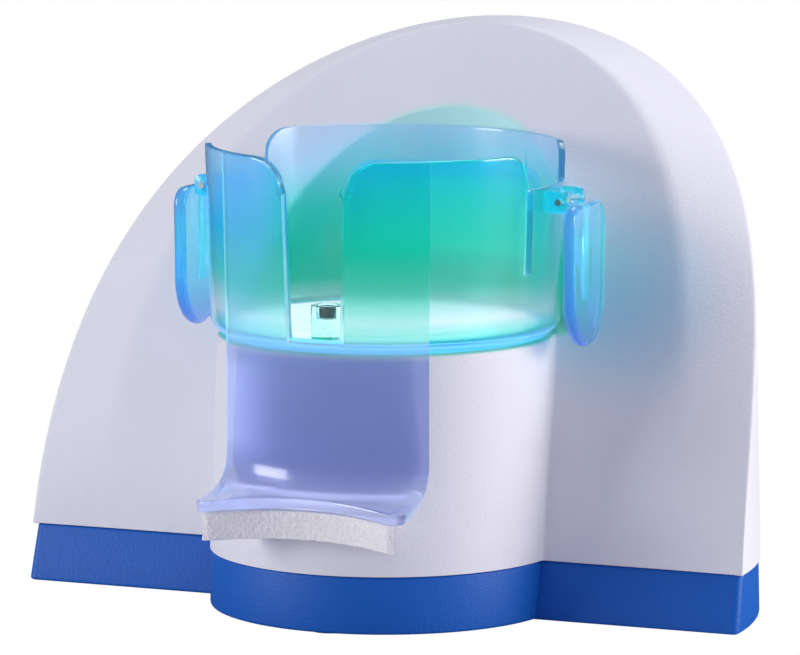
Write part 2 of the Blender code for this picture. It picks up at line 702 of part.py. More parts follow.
def build_light_engine():
    front = LIGHT_BOARD_FRONT
    board = box(
        "light_board",
        (LIGHT_BOARD_WIDTH, BOARD, LIGHT_BOARD_HEIGHT),
        (0, front + BOARD / 2, WINDOW_MIDDLE),
        BOARD_GREEN,
    )
    for index, (x, z) in enumerate(light_boss_places()):
        at = (x, front + BOARD + GAP, z)
        cut(board, rod(f"light_hole_{index}", SMALL_SHANK + GAP, 0, front + 1, "Y", at, segments=12))
        screw(
            f"light_screw_{index + 1}",
            at,
            SMALL_SCREW_LENGTH,
            SMALL_SHANK,
            SMALL_HEAD,
            SMALL_HEAD_HEIGHT,
            "Y",
            points_up=False,
        )
    number = 0
    for row in range(LED_ROWS):
        for place in range(LED_COLUMNS):
            number += 1
            x = (place - (LED_COLUMNS - 1) / 2) * LED_PITCH_X
            z = WINDOW_MIDDLE + (row - (LED_ROWS - 1) / 2) * LED_PITCH_Z
            led_back = front - GAP
            rod(
                f"led_{number}",
                LED_RADIUS,
                led_back - LED_HEIGHT,
                led_back,
                "Y",
                (x, 0, z),
                LED_WHITE,
                16,
            )
    sink_front = front + BOARD + GAP
    width = LIGHT_BOSS_X * 2 - 2 * SMALL_HEAD - 4 * MM
    comb = [(-width / 2, sink_front), (width / 2, sink_front)]
    gap = (width - SINK_FINS * SINK_FIN) / (SINK_FINS - 1)
    for fin in range(SINK_FINS):
        right = width / 2 - fin * (SINK_FIN + gap)
        left = right - SINK_FIN
        comb += [(right, sink_front + SINK_DEPTH), (left, sink_front + SINK_DEPTH)]
        if fin < SINK_FINS - 1:
            comb += [(left, sink_front + SINK_PLATE), (left - gap, sink_front + SINK_PLATE)]
    half = LIGHT_BOARD_HEIGHT / 2 - 2 * MM
    prism("heat_sink", comb, WINDOW_MIDDLE - half, WINDOW_MIDDLE + half, "XY", ALUMINIUM)


# ------------------------------------------------------------ electronics


def build_electronics():
    board_top = MAIN_BOARD_HEIGHT + BOARD
    on_board = board_top + GAP
    board = box(
        "main_board",
        (MAIN_BOARD_WIDTH, MAIN_BOARD_DEPTH, BOARD),
        (0, MAIN_BOARD_Y, MAIN_BOARD_HEIGHT + BOARD / 2),
        BOARD_GREEN,
    )
    for index, (x, y) in enumerate(main_screw_places()):
        at = (x, y, on_board)
        above = on_board + 1 * MM
        cut(board, rod(f"main_hole_{index}", SMALL_SHANK + GAP, 0, above, at=at, segments=12))
        length = on_board - BASE_INSIDE - GAP
        screw(
            f"board_screw_{index + 1}",
            at,
            length,
            SMALL_SHANK,
            SMALL_HEAD,
            SMALL_HEAD_HEIGHT,
            points_up=False,
        )
    chip_middle = (-14 * MM, MAIN_BOARD_Y, on_board + 0.9 * MM)
    box("controller_chip", (12 * MM, 12 * MM, 1.8 * MM), chip_middle, CHIP_BLACK)
    for number, x in enumerate((18 * MM, 29 * MM), 1):
        at = (x, MAIN_BOARD_Y + 12 * MM, 0)
        rod(f"capacitor_{number}", 4 * MM, on_board, on_board + 11 * MM, at=at, finish=CAPACITOR)
    for name, x, y in (("light_connector", 0, 19 * MM), ("sensor_connector", 0, -19 * MM)):
        at = (x, MAIN_BOARD_Y + y, on_board + 3 * MM)
        box(name, (14 * MM, 7 * MM, 6 * MM), at, CONNECTOR)
    sensor_middle = SENSOR_TOP - BOARD / 2
    sensor = box(
        "sensor_board", (SENSOR_WIDTH, SENSOR_DEPTH, BOARD), (0, SENSOR_Y, sensor_middle), BOARD_GREEN
    )
    for index, side in enumerate((-1, 1)):
        at = (side * SENSOR_SCREW_X, SENSOR_Y, SENSOR_TOP - BOARD - GAP)
        cut(sensor, rod(f"sensor_hole_{index}", SMALL_SHANK + GAP, 0, 1, at=at, segments=12))
        screw(
            f"sensor_screw_{index + 1}",
            at,
            SMALL_SCREW_LENGTH,
            SMALL_SHANK,
            SMALL_HEAD,
            SMALL_HEAD_HEIGHT,
        )
    box(
        "hall_sensor",
        (4.2 * MM, 1.6 * MM + 1.4 * MM, 1.5 * MM),
        (0, SENSOR_Y - 3 * MM, SENSOR_TOP + GAP + 0.75 * MM),
        CHIP_BLACK,
    )
    harness_start = on_board + 6 * MM + GAP
    light_foot = WINDOW_MIDDLE - LIGHT_BOARD_HEIGHT / 2
    tube(
        "light_harness",
        (
            (0, MAIN_BOARD_Y + 19 * MM, harness_start),
            (0, MAIN_BOARD_Y + 19 * MM, harness_start + 20 * MM),
            (0, LIGHT_BOARD_FRONT + 4 * MM, light_foot - 24 * MM),
            (0, LIGHT_BOARD_FRONT + BOARD / 2, light_foot - GAP),
        ),
        WIRE_RADIUS,
        WIRE_SLEEVE,
    )
    sensor_foot = SENSOR_TOP - BOARD
    tube(
        "sensor_harness",
        (
            (0, MAIN_BOARD_Y - 19 * MM, harness_start),
            (0, MAIN_BOARD_Y - 19 * MM, harness_start + 12 * MM),
            (0, SENSOR_Y + 30 * MM, harness_start + 30 * MM),
            (0, SENSOR_Y, sensor_foot - 16 * MM),
            (0, SENSOR_Y, sensor_foot - GAP),
        ),
        WIRE_RADIUS,
        WIRE_SLEEVE,
    )


def build_rear_sockets():
    rear = rear_wall_y(INLET_X + INLET_RADIUS)
    body_back = rear - BASE_WALL - 2.5 * MM
    at = (INLET_X, 0, INLET_HEIGHT)
    nose_end = rear_wall_y(INLET_X) + 0.4 * MM
    inlet = rod("power_inlet", INLET_RADIUS, body_back - 2 * MM, nose_end, "Y", at, SOCKET_BLACK, 24)
    block = box(
        "inlet_block",
        (INLET_BODY, INLET_BODY, INLET_BODY),
        (INLET_X, body_back - INLET_BODY / 2, INLET_HEIGHT),
    )
    join(inlet, block)
    bore_start = nose_end - INLET_BORE_DEPTH
    cut(inlet, rod("inlet_bore", INLET_BORE, bore_start, nose_end + 5 * MM, "Y", at))
    contact_ends = (bore_start - 1 * MM, nose_end - 1 * MM)
    join(inlet, rod("inlet_contact", 1.0 * MM, *contact_ends, "Y", at, segments=10))

    proud = rear_wall_y(SWITCH_X - SWITCH_WIDTH / 2) + 0.2 * MM
    outer = rear_wall_y(SWITCH_X + SWITCH_WIDTH / 2) + GAP
    at_z = INLET_HEIGHT
    rim = max(proud, outer)
    case = box(
        "switch_case",
        (SWITCH_WIDTH, SWITCH_DEPTH, SWITCH_HEIGHT),
        (SWITCH_X, rim - SWITCH_DEPTH / 2, at_z),
        SOCKET_BLACK,
    )
    well = box(
        "switch_well",
        (SWITCH_WIDTH - 2 * SWITCH_RIM, 2 * ROCKER_WELL, SWITCH_HEIGHT - 2 * SWITCH_RIM),
        (SWITCH_X, rim, at_z),
    )
    cut(case, well)
    half = SWITCH_WIDTH / 2 - SWITCH_RIM - 2 * GAP
    pivot_y = rim - ROCKER_WELL + 3.2 * MM
    outline = [(-half, 0.2 * MM), (-half * 0.92, 2.6 * MM), (0, 1.2 * MM), (half * 0.92, 2.6 * MM)]
    outline += [(half, 0.2 * MM), (2.2 * MM, -1.2 * MM), (-2.2 * MM, -1.2 * MM)]
    depth = SWITCH_HEIGHT - 2 * SWITCH_RIM - 2 * GAP
    rocker = prism("switch_rocker", outline, -depth / 2, depth / 2, "XY", SOCKET_BLACK)
    rocker.data.transform(Matrix.Rotation(math.radians(-ROCKER_TILT), 4, "Z"))
    rocker.location = (SWITCH_X, pivot_y, at_z)
    return rim


# ------------------------------------------------------------------- cup


def cup_outside(height):
    share = (height - CUP_BOTTOM) / CUP_HEIGHT
    return CUP_FOOT_RADIUS + (CUP_RIM_RADIUS - CUP_FOOT_RADIUS) * share


def radial_prism(name, points, angle, reach):
    """An outline in the cup wall's tangent plane (along the rim, up), cut through radially."""
    made = prism(name, points, reach[0], reach[1], "YZ")
    made.rotation_euler.z = math.radians(angle)
    return made


def corner_cut(name, angle, top, radius, side):
    """What rounding a free top corner takes away; side is +1 where the wall lies towards +angle."""
    over = 4 * MM
    outline = [(-over, top + over), (radius, top + over), (radius, top)]
    outline += arc((radius, top - radius), radius, 90, 180, 6)[1:]
    outline += [(-over, top - radius)]
    return radial_prism(name, [(side * x, z) for x, z in outline], angle, (50 * MM, 75 * MM))


def mouth_outline():
    """The front mouth's outline in XZ, flaring round at the rim."""
    half_top = MOUTH_TOP / 2
    half_foot = MOUTH_FOOT / 2
    start = CUP_RIM - MOUTH_CORNER
    over = 8 * MM
    flare = arc((half_top + MOUTH_CORNER, start), MOUTH_CORNER, 180, 90, 6)
    right = [(half_foot, MOUTH_FLOOR), *flare, (half_top + MOUTH_CORNER, CUP_RIM + over)]
    return right + [(-x, z) for x, z in reversed(right)]


def build_cup():
    wall_foot = CUP_FOOT_RADIUS - CUP_WALL
    wall_rim = CUP_RIM_RADIUS - CUP_WALL
    profile = [
        (0, CUP_INSIDE),
        (wall_foot - 1.6 * MM, CUP_INSIDE),
        (wall_foot + 0.1 * MM, CUP_INSIDE + 1.6 * MM),
        (wall_rim, CUP_RIM - 0.6 * MM),
        (wall_rim + 0.6 * MM, CUP_RIM),
        (CUP_RIM_RADIUS - 0.6 * MM, CUP_RIM),
        (CUP_RIM_RADIUS, CUP_RIM - 0.6 * MM),
        (CUP_FOOT_RADIUS + 0.05 * MM, CUP_BOTTOM + 3.2 * MM),
        (CUP_FOOT_RADIUS - 0.8 * MM, CUP_BOTTOM + 1.0 * MM),
        (CUP_FOOT_RADIUS - 2.6 * MM, CUP_BOTTOM),
        (0, CUP_BOTTOM),
    ]
    cup = turned("cup", profile, CUP_TEAL)
    side_top = CUP_RIM - SIDE_TOP_DROP
    slot_foot = CUP_RIM - SIDE_SLOT_DEPTH
    width = SIDE_SLOT_WIDTH
    half_slot = math.degrees(width / 2 / CUP_RIM_RADIUS)
    for side in (-1, 1):
        name = "left" if side < 0 else "right"
        slot_angle = SIDE_SLOT_ANGLE if side > 0 else 180 - SIDE_SLOT_ANGLE
        slot_edge = slot_angle - side * half_slot
        rear_edge = SIDE_REAR_ANGLE if side > 0 else 180 - SIDE_REAR_ANGLE
        lug_near = PIVOT_Y - KNUCKLE_LENGTH / 2 - LUG_SPACE - LUG_THICKNESS / 2
        lug_far = PIVOT_Y + KNUCKLE_LENGTH / 2 + LUG_SPACE + LUG_THICKNESS / 2
        for number, y in enumerate((lug_near, lug_far)):
            inner = math.sqrt(cup_outside(PIVOT_HEIGHT) ** 2 - y**2) - 1.2 * MM
            outer = EAR_FACE_X - EAR_CLEARANCE
            lug = box(
                f"lug_{name}_{number}",
                (outer - inner, LUG_THICKNESS, 2 * LUG_HALF_HEIGHT),
                (side * (outer + inner) / 2, y, PIVOT_HEIGHT),
            )
            join(cup, lug)
        pin_hole = rod(
            f"pin_hole_{name}",
            PIN_RADIUS + GAP,
            -40 * MM,
            40 * MM,
            "Y",
            (side * PIVOT_X, 0, PIVOT_HEIGHT),
            segments=16,
        )
        cut(cup, pin_hole)
        sector = [(0, 0)]
        sector += arc((0, 0), 80 * MM, SIDE_SLOT_ANGLE - half_slot, SIDE_REAR_ANGLE, 6)
        sector = [(side * x, y) for x, y in sector]
        slot = [(-width / 2, CUP_RIM + 9 * MM), (-width / 2, slot_foot + width / 2)]
        slot += arc((0, slot_foot + width / 2), width / 2, 180, 360, 6)[1:]
        slot += [(width / 2, CUP_RIM + 9 * MM)]
        cut(
            cup,
            prism(f"side_top_{name}", sector, side_top, CUP_RIM + 9 * MM),
            radial_prism(f"side_slot_{name}", slot, slot_angle, (50 * MM, 75 * MM)),
            corner_cut(f"rear_corner_{name}", rear_edge, CUP_RIM, REAR_CORNER, side),
            corner_cut(f"wing_corner_{name}", slot_edge, CUP_RIM, WING_CORNER, -side),
        )
    mouth_ends = (-CUP_RIM_RADIUS - 9 * MM, -CUP_RIM_RADIUS + 22 * MM)
    cut(cup, prism("mouth_cut", mouth_outline(), *mouth_ends, "XZ"))
    origin_at(cup, (0, 0, CUP_BOTTOM))
    post_bottom = CUP_INSIDE + GAP
    at = (0, POST_Y, 0)
    post_top = post_bottom + POST_HEIGHT
    post = rod("locating_post", POST_RADIUS, post_bottom, post_top, at=at, finish=CLEAR, segments=32)
    recess = post_top - MAGNET_HEIGHT - 0.6 * MM
    cut(post, rod("magnet_recess", MAGNET_RADIUS + GAP, recess, CUP_RIM, at=at))
    magnet_foot = recess + GAP
    rod("post_magnet", MAGNET_RADIUS, magnet_foot, magnet_foot + MAGNET_HEIGHT, at=at, finish=MAGNET)
    return cup


# ------------------------------------------------------- shield and pad


def shield_inside(height):
    return cup_outside(max(height, CUP_BOTTOM)) + GAP


def lip_front(x):
    share = min(abs(x) / (LIP_ROUND * LIP_HALF_WIDTH), 1.0)
    return -(LIP_REACH - LIP_HOLLOW) - LIP_HOLLOW * share**2


def build_shield():
    """The shield's inner face as a grid bent out into the lip, then thickened outwards."""
    levels = (CUP_RIM, 140 * MM, 118 * MM, CUP_BOTTOM, 80 * MM, 66 * MM, SHIELD_BEND_TOP)
    columns = 28
    bend = 6
    bm = bmesh.new()
    rows = [[] for _ in range(len(levels) + bend)]
    for step in range(columns + 1):
        share = 2 * step / columns - 1
        angle = math.radians(SHIELD_HALF_ANGLE * share - 90)
        for row, height in enumerate(levels):
            reach = shield_inside(height) + SHIELD_WALL
            rows[row].append(bm.verts.new((reach * math.cos(angle), reach * math.sin(angle), height)))
        reach = shield_inside(SHIELD_BEND_TOP) + SHIELD_WALL
        start = Vector((reach * math.cos(angle), reach * math.sin(angle), SHIELD_BEND_TOP))
        x = share * LIP_HALF_WIDTH
        ease = max(0.0, (abs(share) - LIP_ROUND) / (1 - LIP_ROUND))
        tip_y = lip_front(x) + 5 * MM * (1 - math.sqrt(max(0.0, 1 - ease**2)))
        height = LIP_HEIGHT + LIP_CROWN * (1 - share**2)
        tip = Vector((x, tip_y, height))
        corner = Vector((start.x, start.y, height + 0.5 * MM))
        for turn in range(1, bend + 1):
            t = turn / bend
            point = (1 - t) ** 2 * start + 2 * t * (1 - t) * corner + t**2 * tip
            rows[len(levels) + turn - 1].append(bm.verts.new(point))
    for low, high in zip(rows, rows[1:]):
        for i in range(columns):
            bm.faces.new((low[i], high[i], high[i + 1], low[i + 1]))
    mesh = bpy.data.meshes.new("front_shield")
    bm.to_mesh(mesh)
    bm.free()
    shield = add_object("front_shield", mesh, SHIELD_VIOLET)
    wall = shield.modifiers.new("wall", "SOLIDIFY")
    wall.thickness = LIP_THICKNESS
    wall.offset = -1.0
    wall.use_even_offset = False
    group = shield.vertex_groups.new(name="thickness")
    for row in range(len(rows)):
        turn = max(0, row - len(levels) + 1) / bend
        thickness = SHIELD_WALL + (LIP_THICKNESS - SHIELD_WALL) * turn**2
        column = [step * len(rows) + row for step in range(columns + 1)]
        group.add(column, thickness / LIP_THICKNESS, "REPLACE")
    wall.vertex_group = group.name
    mouth_ends = (-CUP_RIM_RADIUS - 9 * MM, -CUP_RIM_RADIUS + 22 * MM)
    cut(shield, prism("shield_mouth", mouth_outline(), *mouth_ends, "XZ"))
    return shield


def build_pad():
    half = LIP_HALF_WIDTH - PAD_INSET
    inner = column_radius(LIP_HEIGHT - PAD_THICKNESS) + PAD_COLUMN_GAP
    steps = 12
    front = [(half * (1 - 2 * i / steps), 0) for i in range(steps + 1)]
    front = [(x, lip_front(x) + PAD_INSET / 2) for x, _ in front]
    end_angle = math.degrees(math.atan2(half, -front[0][1]))
    back = arc((0, 0), inner, -90 - end_angle, -90 + end_angle, steps)
    top = LIP_HEIGHT - LIP_THICKNESS - GAP
    prism("foam_pad", front + back, top - PAD_THICKNESS, top, "XY", FOAM)


# ------------------------------------------------------------------ ears


def build_ear(side):
    name = "left" if side < 0 else "right"
    pivot = Vector((side * PIVOT_X, PIVOT_Y, PIVOT_HEIGHT))
    width = EAR_REAR_Y - EAR_FRONT_Y
    half = width / 2
    foot = EAR_FOOT - PIVOT_HEIGHT
    top = EAR_TOP - PIVOT_HEIGHT
    corner = 6.0 * MM
    shoulder = foot + 1.15 * half
    outline = arc((half - corner, top - corner), corner, 0, 90, 4)
    outline += arc((-half + corner, top - corner), corner, 90, 180, 4)
    steps = 12
    for i in range(steps + 1):
        turn = math.pi + math.pi * i / steps
        outline.append((half * 0.94 * math.cos(turn), shoulder + (shoulder - foot) * math.sin(turn)))
    near = EAR_FACE_X - PIVOT_X
    low, high = sorted((side * near, side * (near + EAR_THICKNESS)))
    plate = prism(f"ear_{name}", outline, low, high, "YZ", EAR_CYAN)
    web_half = KNUCKLE_LENGTH / 2
    gusset = [
        (-KNUCKLE_RADIUS, 0.0),
        (-0.2 * MM, KNUCKLE_RADIUS),
        (near + 1.5 * MM, min(top, KNUCKLE_RADIUS) - 0.6 * MM),
        (near + 1.5 * MM, -EAR_GUSSET),
        (near + 0.2 * MM, -EAR_GUSSET),
    ]
    web = prism(f"ear_web_{name}", [(side * x, z) for x, z in gusset], -web_half, web_half, "XZ")
    knuckle = rod(f"knuckle_{name}", KNUCKLE_RADIUS, -web_half, web_half, "Y", segments=20)
    bore = rod(f"ear_bore_{name}", PIN_RADIUS + GAP, -2 * width, 2 * width, "Y", segments=16)
    for piece in (plate, web, knuckle, bore):
        piece.location = piece.location + pivot
    join(plate, web, knuckle)
    cut(plate, bore)
    reach = KNUCKLE_LENGTH / 2 + LUG_SPACE + LUG_THICKNESS + 0.6 * MM
    pin = rod(
        f"ear_pin_{name}", PIN_RADIUS, PIVOT_Y - reach, PIVOT_Y + reach, "Y", pivot, STAINLESS, 16
    )
    room = LUG_SPACE - 2 * GAP - 2 * SPRING_WIRE
    coil_radius = PIN_RADIUS + GAP + SPRING_WIRE + 0.2 * MM
    start = PIVOT_Y - KNUCKLE_LENGTH / 2 - LUG_SPACE + GAP + SPRING_WIRE
    per_turn = 10
    points = []
    for i in range(SPRING_TURNS * per_turn + 1):
        turn = 2 * math.pi * i / per_turn
        points.append(
            (
                pivot.x + coil_radius * math.cos(turn),
                start + room * i / (SPRING_TURNS * per_turn),
                pivot.z + coil_radius * math.sin(turn),
            )
        )
    tube(f"ear_spring_{name}", points, SPRING_WIRE, STAINLESS, resolution=1)
    return pin


# ------------------------------------------------------------------ build

build_housing()
build_base()
build_window()
build_light_engine()
build_electronics()
build_rear_sockets()
build_cup()
build_shield()
build_pad()
build_ear(-1)
build_ear(1)
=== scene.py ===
"""Looks of a bench-top dental light unit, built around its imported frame.

A white housing on a blue base holds a lit niche. A frosted translucent cup stands in it on a
round column, with a front shield whose lip carries a foam pad, and an ear at each side. All
lengths are metres in the frame's own axes: +X right, +Y away from the user, +Z up.
"""

from __future__ import annotations

import json
import logging
import math
from dataclasses import dataclass
from enum import Enum
from typing import Any

import bmesh
import bpy
import numpy as np
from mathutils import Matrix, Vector

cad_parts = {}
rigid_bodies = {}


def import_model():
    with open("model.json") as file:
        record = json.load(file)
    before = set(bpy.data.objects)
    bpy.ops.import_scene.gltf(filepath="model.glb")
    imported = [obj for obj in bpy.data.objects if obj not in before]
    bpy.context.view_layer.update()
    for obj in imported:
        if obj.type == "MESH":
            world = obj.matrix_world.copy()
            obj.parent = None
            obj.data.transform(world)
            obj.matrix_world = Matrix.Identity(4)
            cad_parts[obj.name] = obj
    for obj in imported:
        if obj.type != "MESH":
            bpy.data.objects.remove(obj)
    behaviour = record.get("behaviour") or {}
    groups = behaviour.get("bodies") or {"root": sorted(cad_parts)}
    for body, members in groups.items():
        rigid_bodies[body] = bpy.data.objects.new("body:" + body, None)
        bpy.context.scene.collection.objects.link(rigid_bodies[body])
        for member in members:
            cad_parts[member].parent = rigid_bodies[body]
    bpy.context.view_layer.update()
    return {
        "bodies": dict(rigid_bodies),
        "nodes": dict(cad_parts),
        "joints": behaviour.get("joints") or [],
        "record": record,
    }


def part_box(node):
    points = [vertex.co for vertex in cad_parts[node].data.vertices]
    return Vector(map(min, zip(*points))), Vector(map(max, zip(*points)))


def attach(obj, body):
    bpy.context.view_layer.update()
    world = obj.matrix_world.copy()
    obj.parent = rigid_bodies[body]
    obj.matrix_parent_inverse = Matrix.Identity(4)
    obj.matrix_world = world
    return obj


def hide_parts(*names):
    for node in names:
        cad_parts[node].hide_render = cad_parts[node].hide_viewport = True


LOG = logging.getLogger("light_unit")
MM = 0.001
Array = np.ndarray


# ------------------------------------------------------------------ shared sizes


@dataclass(frozen=True)
class Sweep:
    """A front line that leans back as it rises: y = foot + factor * height ** power, in mm."""

    foot: float
    factor: float
    power: float

    def depth(self, height: Array) -> Array:
        """The line's y, in metres, at a height in metres."""
        return (self.foot + self.factor * (height / MM) ** self.power) * MM

    def height(self, depth: Array) -> Array:
        """The height, in metres, at which the line reaches a y in metres."""
        return np.maximum((depth / MM - self.foot) / self.factor, 0.0) ** (1 / self.power) * MM


@dataclass(frozen=True)
class Sizes:
    """Sizes that more than one piece shares, measured from the column's axis."""

    axis_y: float
    gap: float = 0.3 * MM
    disc_radius: float = 135.7 * MM
    disc_centre: float = -10.9 * MM
    wall_draft: float = 0.025
    panel_radius: float = 110.0 * MM
    seam: float = 21.3 * MM
    shell_wall: float = 2.6 * MM
    column_radius: float = 62.5 * MM
    column_draft: float = 0.038
    niche_floor: float = 97.2 * MM
    niche_radius: float = 68.0 * MM
    cup_foot_radius: float = 61.2 * MM
    cup_rim_radius: float = 62.8 * MM
    cup_wall: float = 2.4 * MM
    cup_floor: float = 3.9 * MM
    cup_height: float = 66.5 * MM
    mouth_top: float = 23.6 * MM
    mouth_foot: float = 19.4 * MM
    mouth_corner: float = 12.0 * MM
    window_width: float = 74.0 * MM
    window_height: float = 35.0 * MM
    window_corner: float = 7.0 * MM
    window_middle: float = 131.3 * MM

    @property
    def cup_bottom(self) -> float:
        """Height of the cup's underside."""
        return self.niche_floor + self.gap

    @property
    def cup_inside(self) -> float:
        """Height of the cup's inner floor."""
        return self.cup_bottom + self.cup_floor

    @property
    def cup_rim(self) -> float:
        """Height of the cup's rim."""
        return self.cup_bottom + self.cup_height

    def column(self, height: Array | float) -> Array | float:
        """The column's drafted radius at a height."""
        return self.column_radius - self.column_draft * height

    def cup_outside(self, height: Array | float) -> Array | float:
        """The cup's outer radius at a height, flaring from its foot to its rim."""
        share = (height - self.cup_bottom) / self.cup_height
        return self.cup_foot_radius + (self.cup_rim_radius - self.cup_foot_radius) * share

    def mouth_half(self, height: Array) -> Array:
        """Half the mouth's width at a height, widening towards the rim."""
        share = np.clip((height - self.cup_inside) / (self.cup_rim - self.cup_inside), 0, 1)
        return (self.mouth_foot + (self.mouth_top - self.mouth_foot) * share) / 2


# ------------------------------------------------------------------ mesh tools


def grid_faces(rows: int, columns: int, closed: bool = False, keep: Array | None = None) -> Array:
    """Quads of a grid of points stored row by row.

    Args:
        rows: Number of rows of points.
        columns: Number of points in a row.
        closed: Whether each row runs round to its first point again.
        keep: One truth value for each quad, as a rows-1 by quads-in-a-row array.

    Returns:
        The quads' point numbers, one quad to a row.
    """
    across = columns if closed else columns - 1
    row, column = np.meshgrid(np.arange(rows - 1), np.arange(across), indexing="ij")
    after = (column + 1) % columns
    quads = np.stack(
        [
            row * columns + column,
            row * columns + after,
            (row + 1) * columns + after,
            (row + 1) * columns + column,
        ],
        axis=-1,
    )
    return quads[keep] if keep is not None else quads.reshape(-1, 4)


def outward(points: Array, faces: Array) -> Array:
    """The faces, all turned round if the closed mesh that they make has a negative volume."""
    corners = points[faces]
    first = np.einsum("ij,ij->i", corners[:, 0], np.cross(corners[:, 1], corners[:, 2])).sum()
    second = np.einsum("ij,ij->i", corners[:, 0], np.cross(corners[:, 2], corners[:, 3])).sum()
    return faces[:, ::-1] if first + second < 0 else faces


def merged(mesh: bpy.types.Mesh, distance: float = 2e-6) -> None:
    """Joins a mesh's coincident points and drops the faces that this leaves without area."""
    work = bmesh.new()
    work.from_mesh(mesh)
    bmesh.ops.remove_doubles(work, verts=work.verts, dist=distance)
    bmesh.ops.dissolve_degenerate(work, dist=distance, edges=work.edges)
    loose = [vert for vert in work.verts if not vert.link_faces]
    bmesh.ops.delete(work, geom=loose, context="VERTS")
    work.to_mesh(mesh)
    work.free()


def new_piece(name: str, points: Array, faces: Array) -> bpy.types.Object:
    """A smooth-shaded object at the origin from arrays of points and quads.

    Args:
        name: The object's name.
        points: Coordinates, one point to a row.
        faces: Point numbers, one quad to a row; a repeated number makes a triangle.

    Returns:
        The linked object, its coincident points joined.
    """
    mesh = bpy.data.meshes.new(name)
    mesh.vertices.add(len(points))
    mesh.vertices.foreach_set("co", np.ascontiguousarray(points, np.float32).ravel())
    mesh.loops.add(faces.size)
    mesh.loops.foreach_set("vertex_index", np.ascontiguousarray(faces, np.int32).ravel())
    mesh.polygons.add(len(faces))
    mesh.polygons.foreach_set(
        "loop_start", np.arange(0, faces.size, faces.shape[1], dtype=np.int32)
    )
    mesh.update(calc_edges=True)
    merged(mesh)
    obj = bpy.data.objects.new(name, mesh)
    bpy.context.scene.collection.objects.link(obj)
    return obj


def settle(obj: bpy.types.Object, sharp: float = 35.0) -> bpy.types.Object:
    """Applies a piece's modifiers, then shades it smooth below an angle in degrees."""
    graph = bpy.context.evaluated_depsgraph_get()
    mesh = bpy.data.meshes.new_from_object(obj.evaluated_get(graph))
    obj.modifiers.clear()
    obj.data = mesh
    mesh.shade_smooth()
    mesh.set_sharp_from_angle(angle=math.radians(sharp))
    return obj


def thicken(obj: bpy.types.Object, thickness: float, share: Array | None = None) -> None:
    """Gives a sheet a wall behind it.

    Args:
        obj: The sheet.
        thickness: The wall's greatest thickness.
        share: Each point's share of that thickness, where it varies.
    """
    wall = obj.modifiers.new("wall", "SOLIDIFY")
    wall.thickness = thickness
    wall.offset = -1.0
    if share is not None:
        group = obj.vertex_groups.new(name="thickness")
        level = np.round(share, 2)
        for value in np.unique(level):
            group.add(
                [int(index) for index in np.flatnonzero(level == value)], float(value), "REPLACE"
            )
        wall.vertex_group = group.name


def points_of(obj: bpy.types.Object) -> Array:
    """The coordinates of a piece's points, one point to a row."""
    places = np.empty(len(obj.data.vertices) * 3)
    obj.data.vertices.foreach_get("co", places)
    return places.reshape(-1, 3)


def corner_steps(radius: float) -> Array:
    """Distances of a grid's columns from a cut edge, closer together where its corner is steep."""
    return radius * np.array([0.0, 0.055, 0.13, 0.235, 0.37, 0.55, 0.76, 1.0])


def soften(obj: bpy.types.Object, width: float, segments: int = 2, angle: float = 50.0) -> None:
    """Rounds a piece's edges that are sharper than an angle in degrees."""
    bevel = obj.modifiers.new("edge", "BEVEL")
    bevel.width = width
    bevel.segments = segments
    bevel.limit_method = "ANGLE"
    bevel.angle_limit = math.radians(angle)
    bevel.use_clamp_overlap = False
    bevel.miter_outer = "MITER_ARC"


def subdivide(obj: bpy.types.Object, levels: int = 1) -> None:
    """Adds a Subdivision Surface of one level."""
    smooth = obj.modifiers.new("smooth", "SUBSURF")
    smooth.levels = levels
    smooth.render_levels = levels


def curve_between(start: Array, control: Array, end: Array, steps: int) -> Array:
    """Points of a quadratic curve, (1-t)^2 start + 2t(1-t) control + t^2 end, along a new axis."""
    t = np.linspace(0, 1, steps)[:, None]
    return (
        (1 - t) ** 2 * start[..., None, :]
        + 2 * t * (1 - t) * control[..., None, :]
        + t**2 * end[..., None, :]
    )


def line_between(start: Array, end: Array, steps: int) -> Array:
    """Evenly spaced points between two arrays of points, both ends left out, along a new axis."""
    t = np.linspace(0, 1, steps + 2)[1:-1, None]
    return start[..., None, :] * (1 - t) + end[..., None, :] * t


def unit(vectors: Array) -> Array:
    """Vectors scaled to length one, and zero where they have none."""
    length = np.linalg.norm(vectors, axis=-1, keepdims=True)
    return vectors / np.maximum(length, 1e-12)


def rounded_loop(width: float, height: float, radius: float, steps: int) -> tuple[Array, Array]:
    """A rounded rectangle about the origin, and its outward normals.

    Args:
        width: Overall width.
        height: Overall height.
        radius: Corner radius.
        steps: Points on each corner.

    Returns:
        Points and unit normals, as two arrays of shape (4 * (steps + 8), 2).
    """
    turn = np.linspace(0, math.pi / 2, steps)
    angle = turn[None, :] + np.arange(4)[:, None] * math.pi / 2
    normal = np.stack([np.cos(angle), np.sin(angle)], -1)
    signs = np.array([(1, 1), (-1, 1), (-1, -1), (1, -1)], float)
    middle = signs * np.array([width / 2 - radius, height / 2 - radius])
    corners = middle[:, None, :] + radius * normal
    following = np.roll(corners, -1, axis=0)
    straight = line_between(corners[:, -1], following[:, 0], 8)
    straight_normal = np.repeat(normal[:, -1:], 8, axis=1)
    points = np.concatenate([corners, straight], axis=1).reshape(-1, 2)
    normals = np.concatenate([normal, straight_normal], axis=1).reshape(-1, 2)
    return points, normals


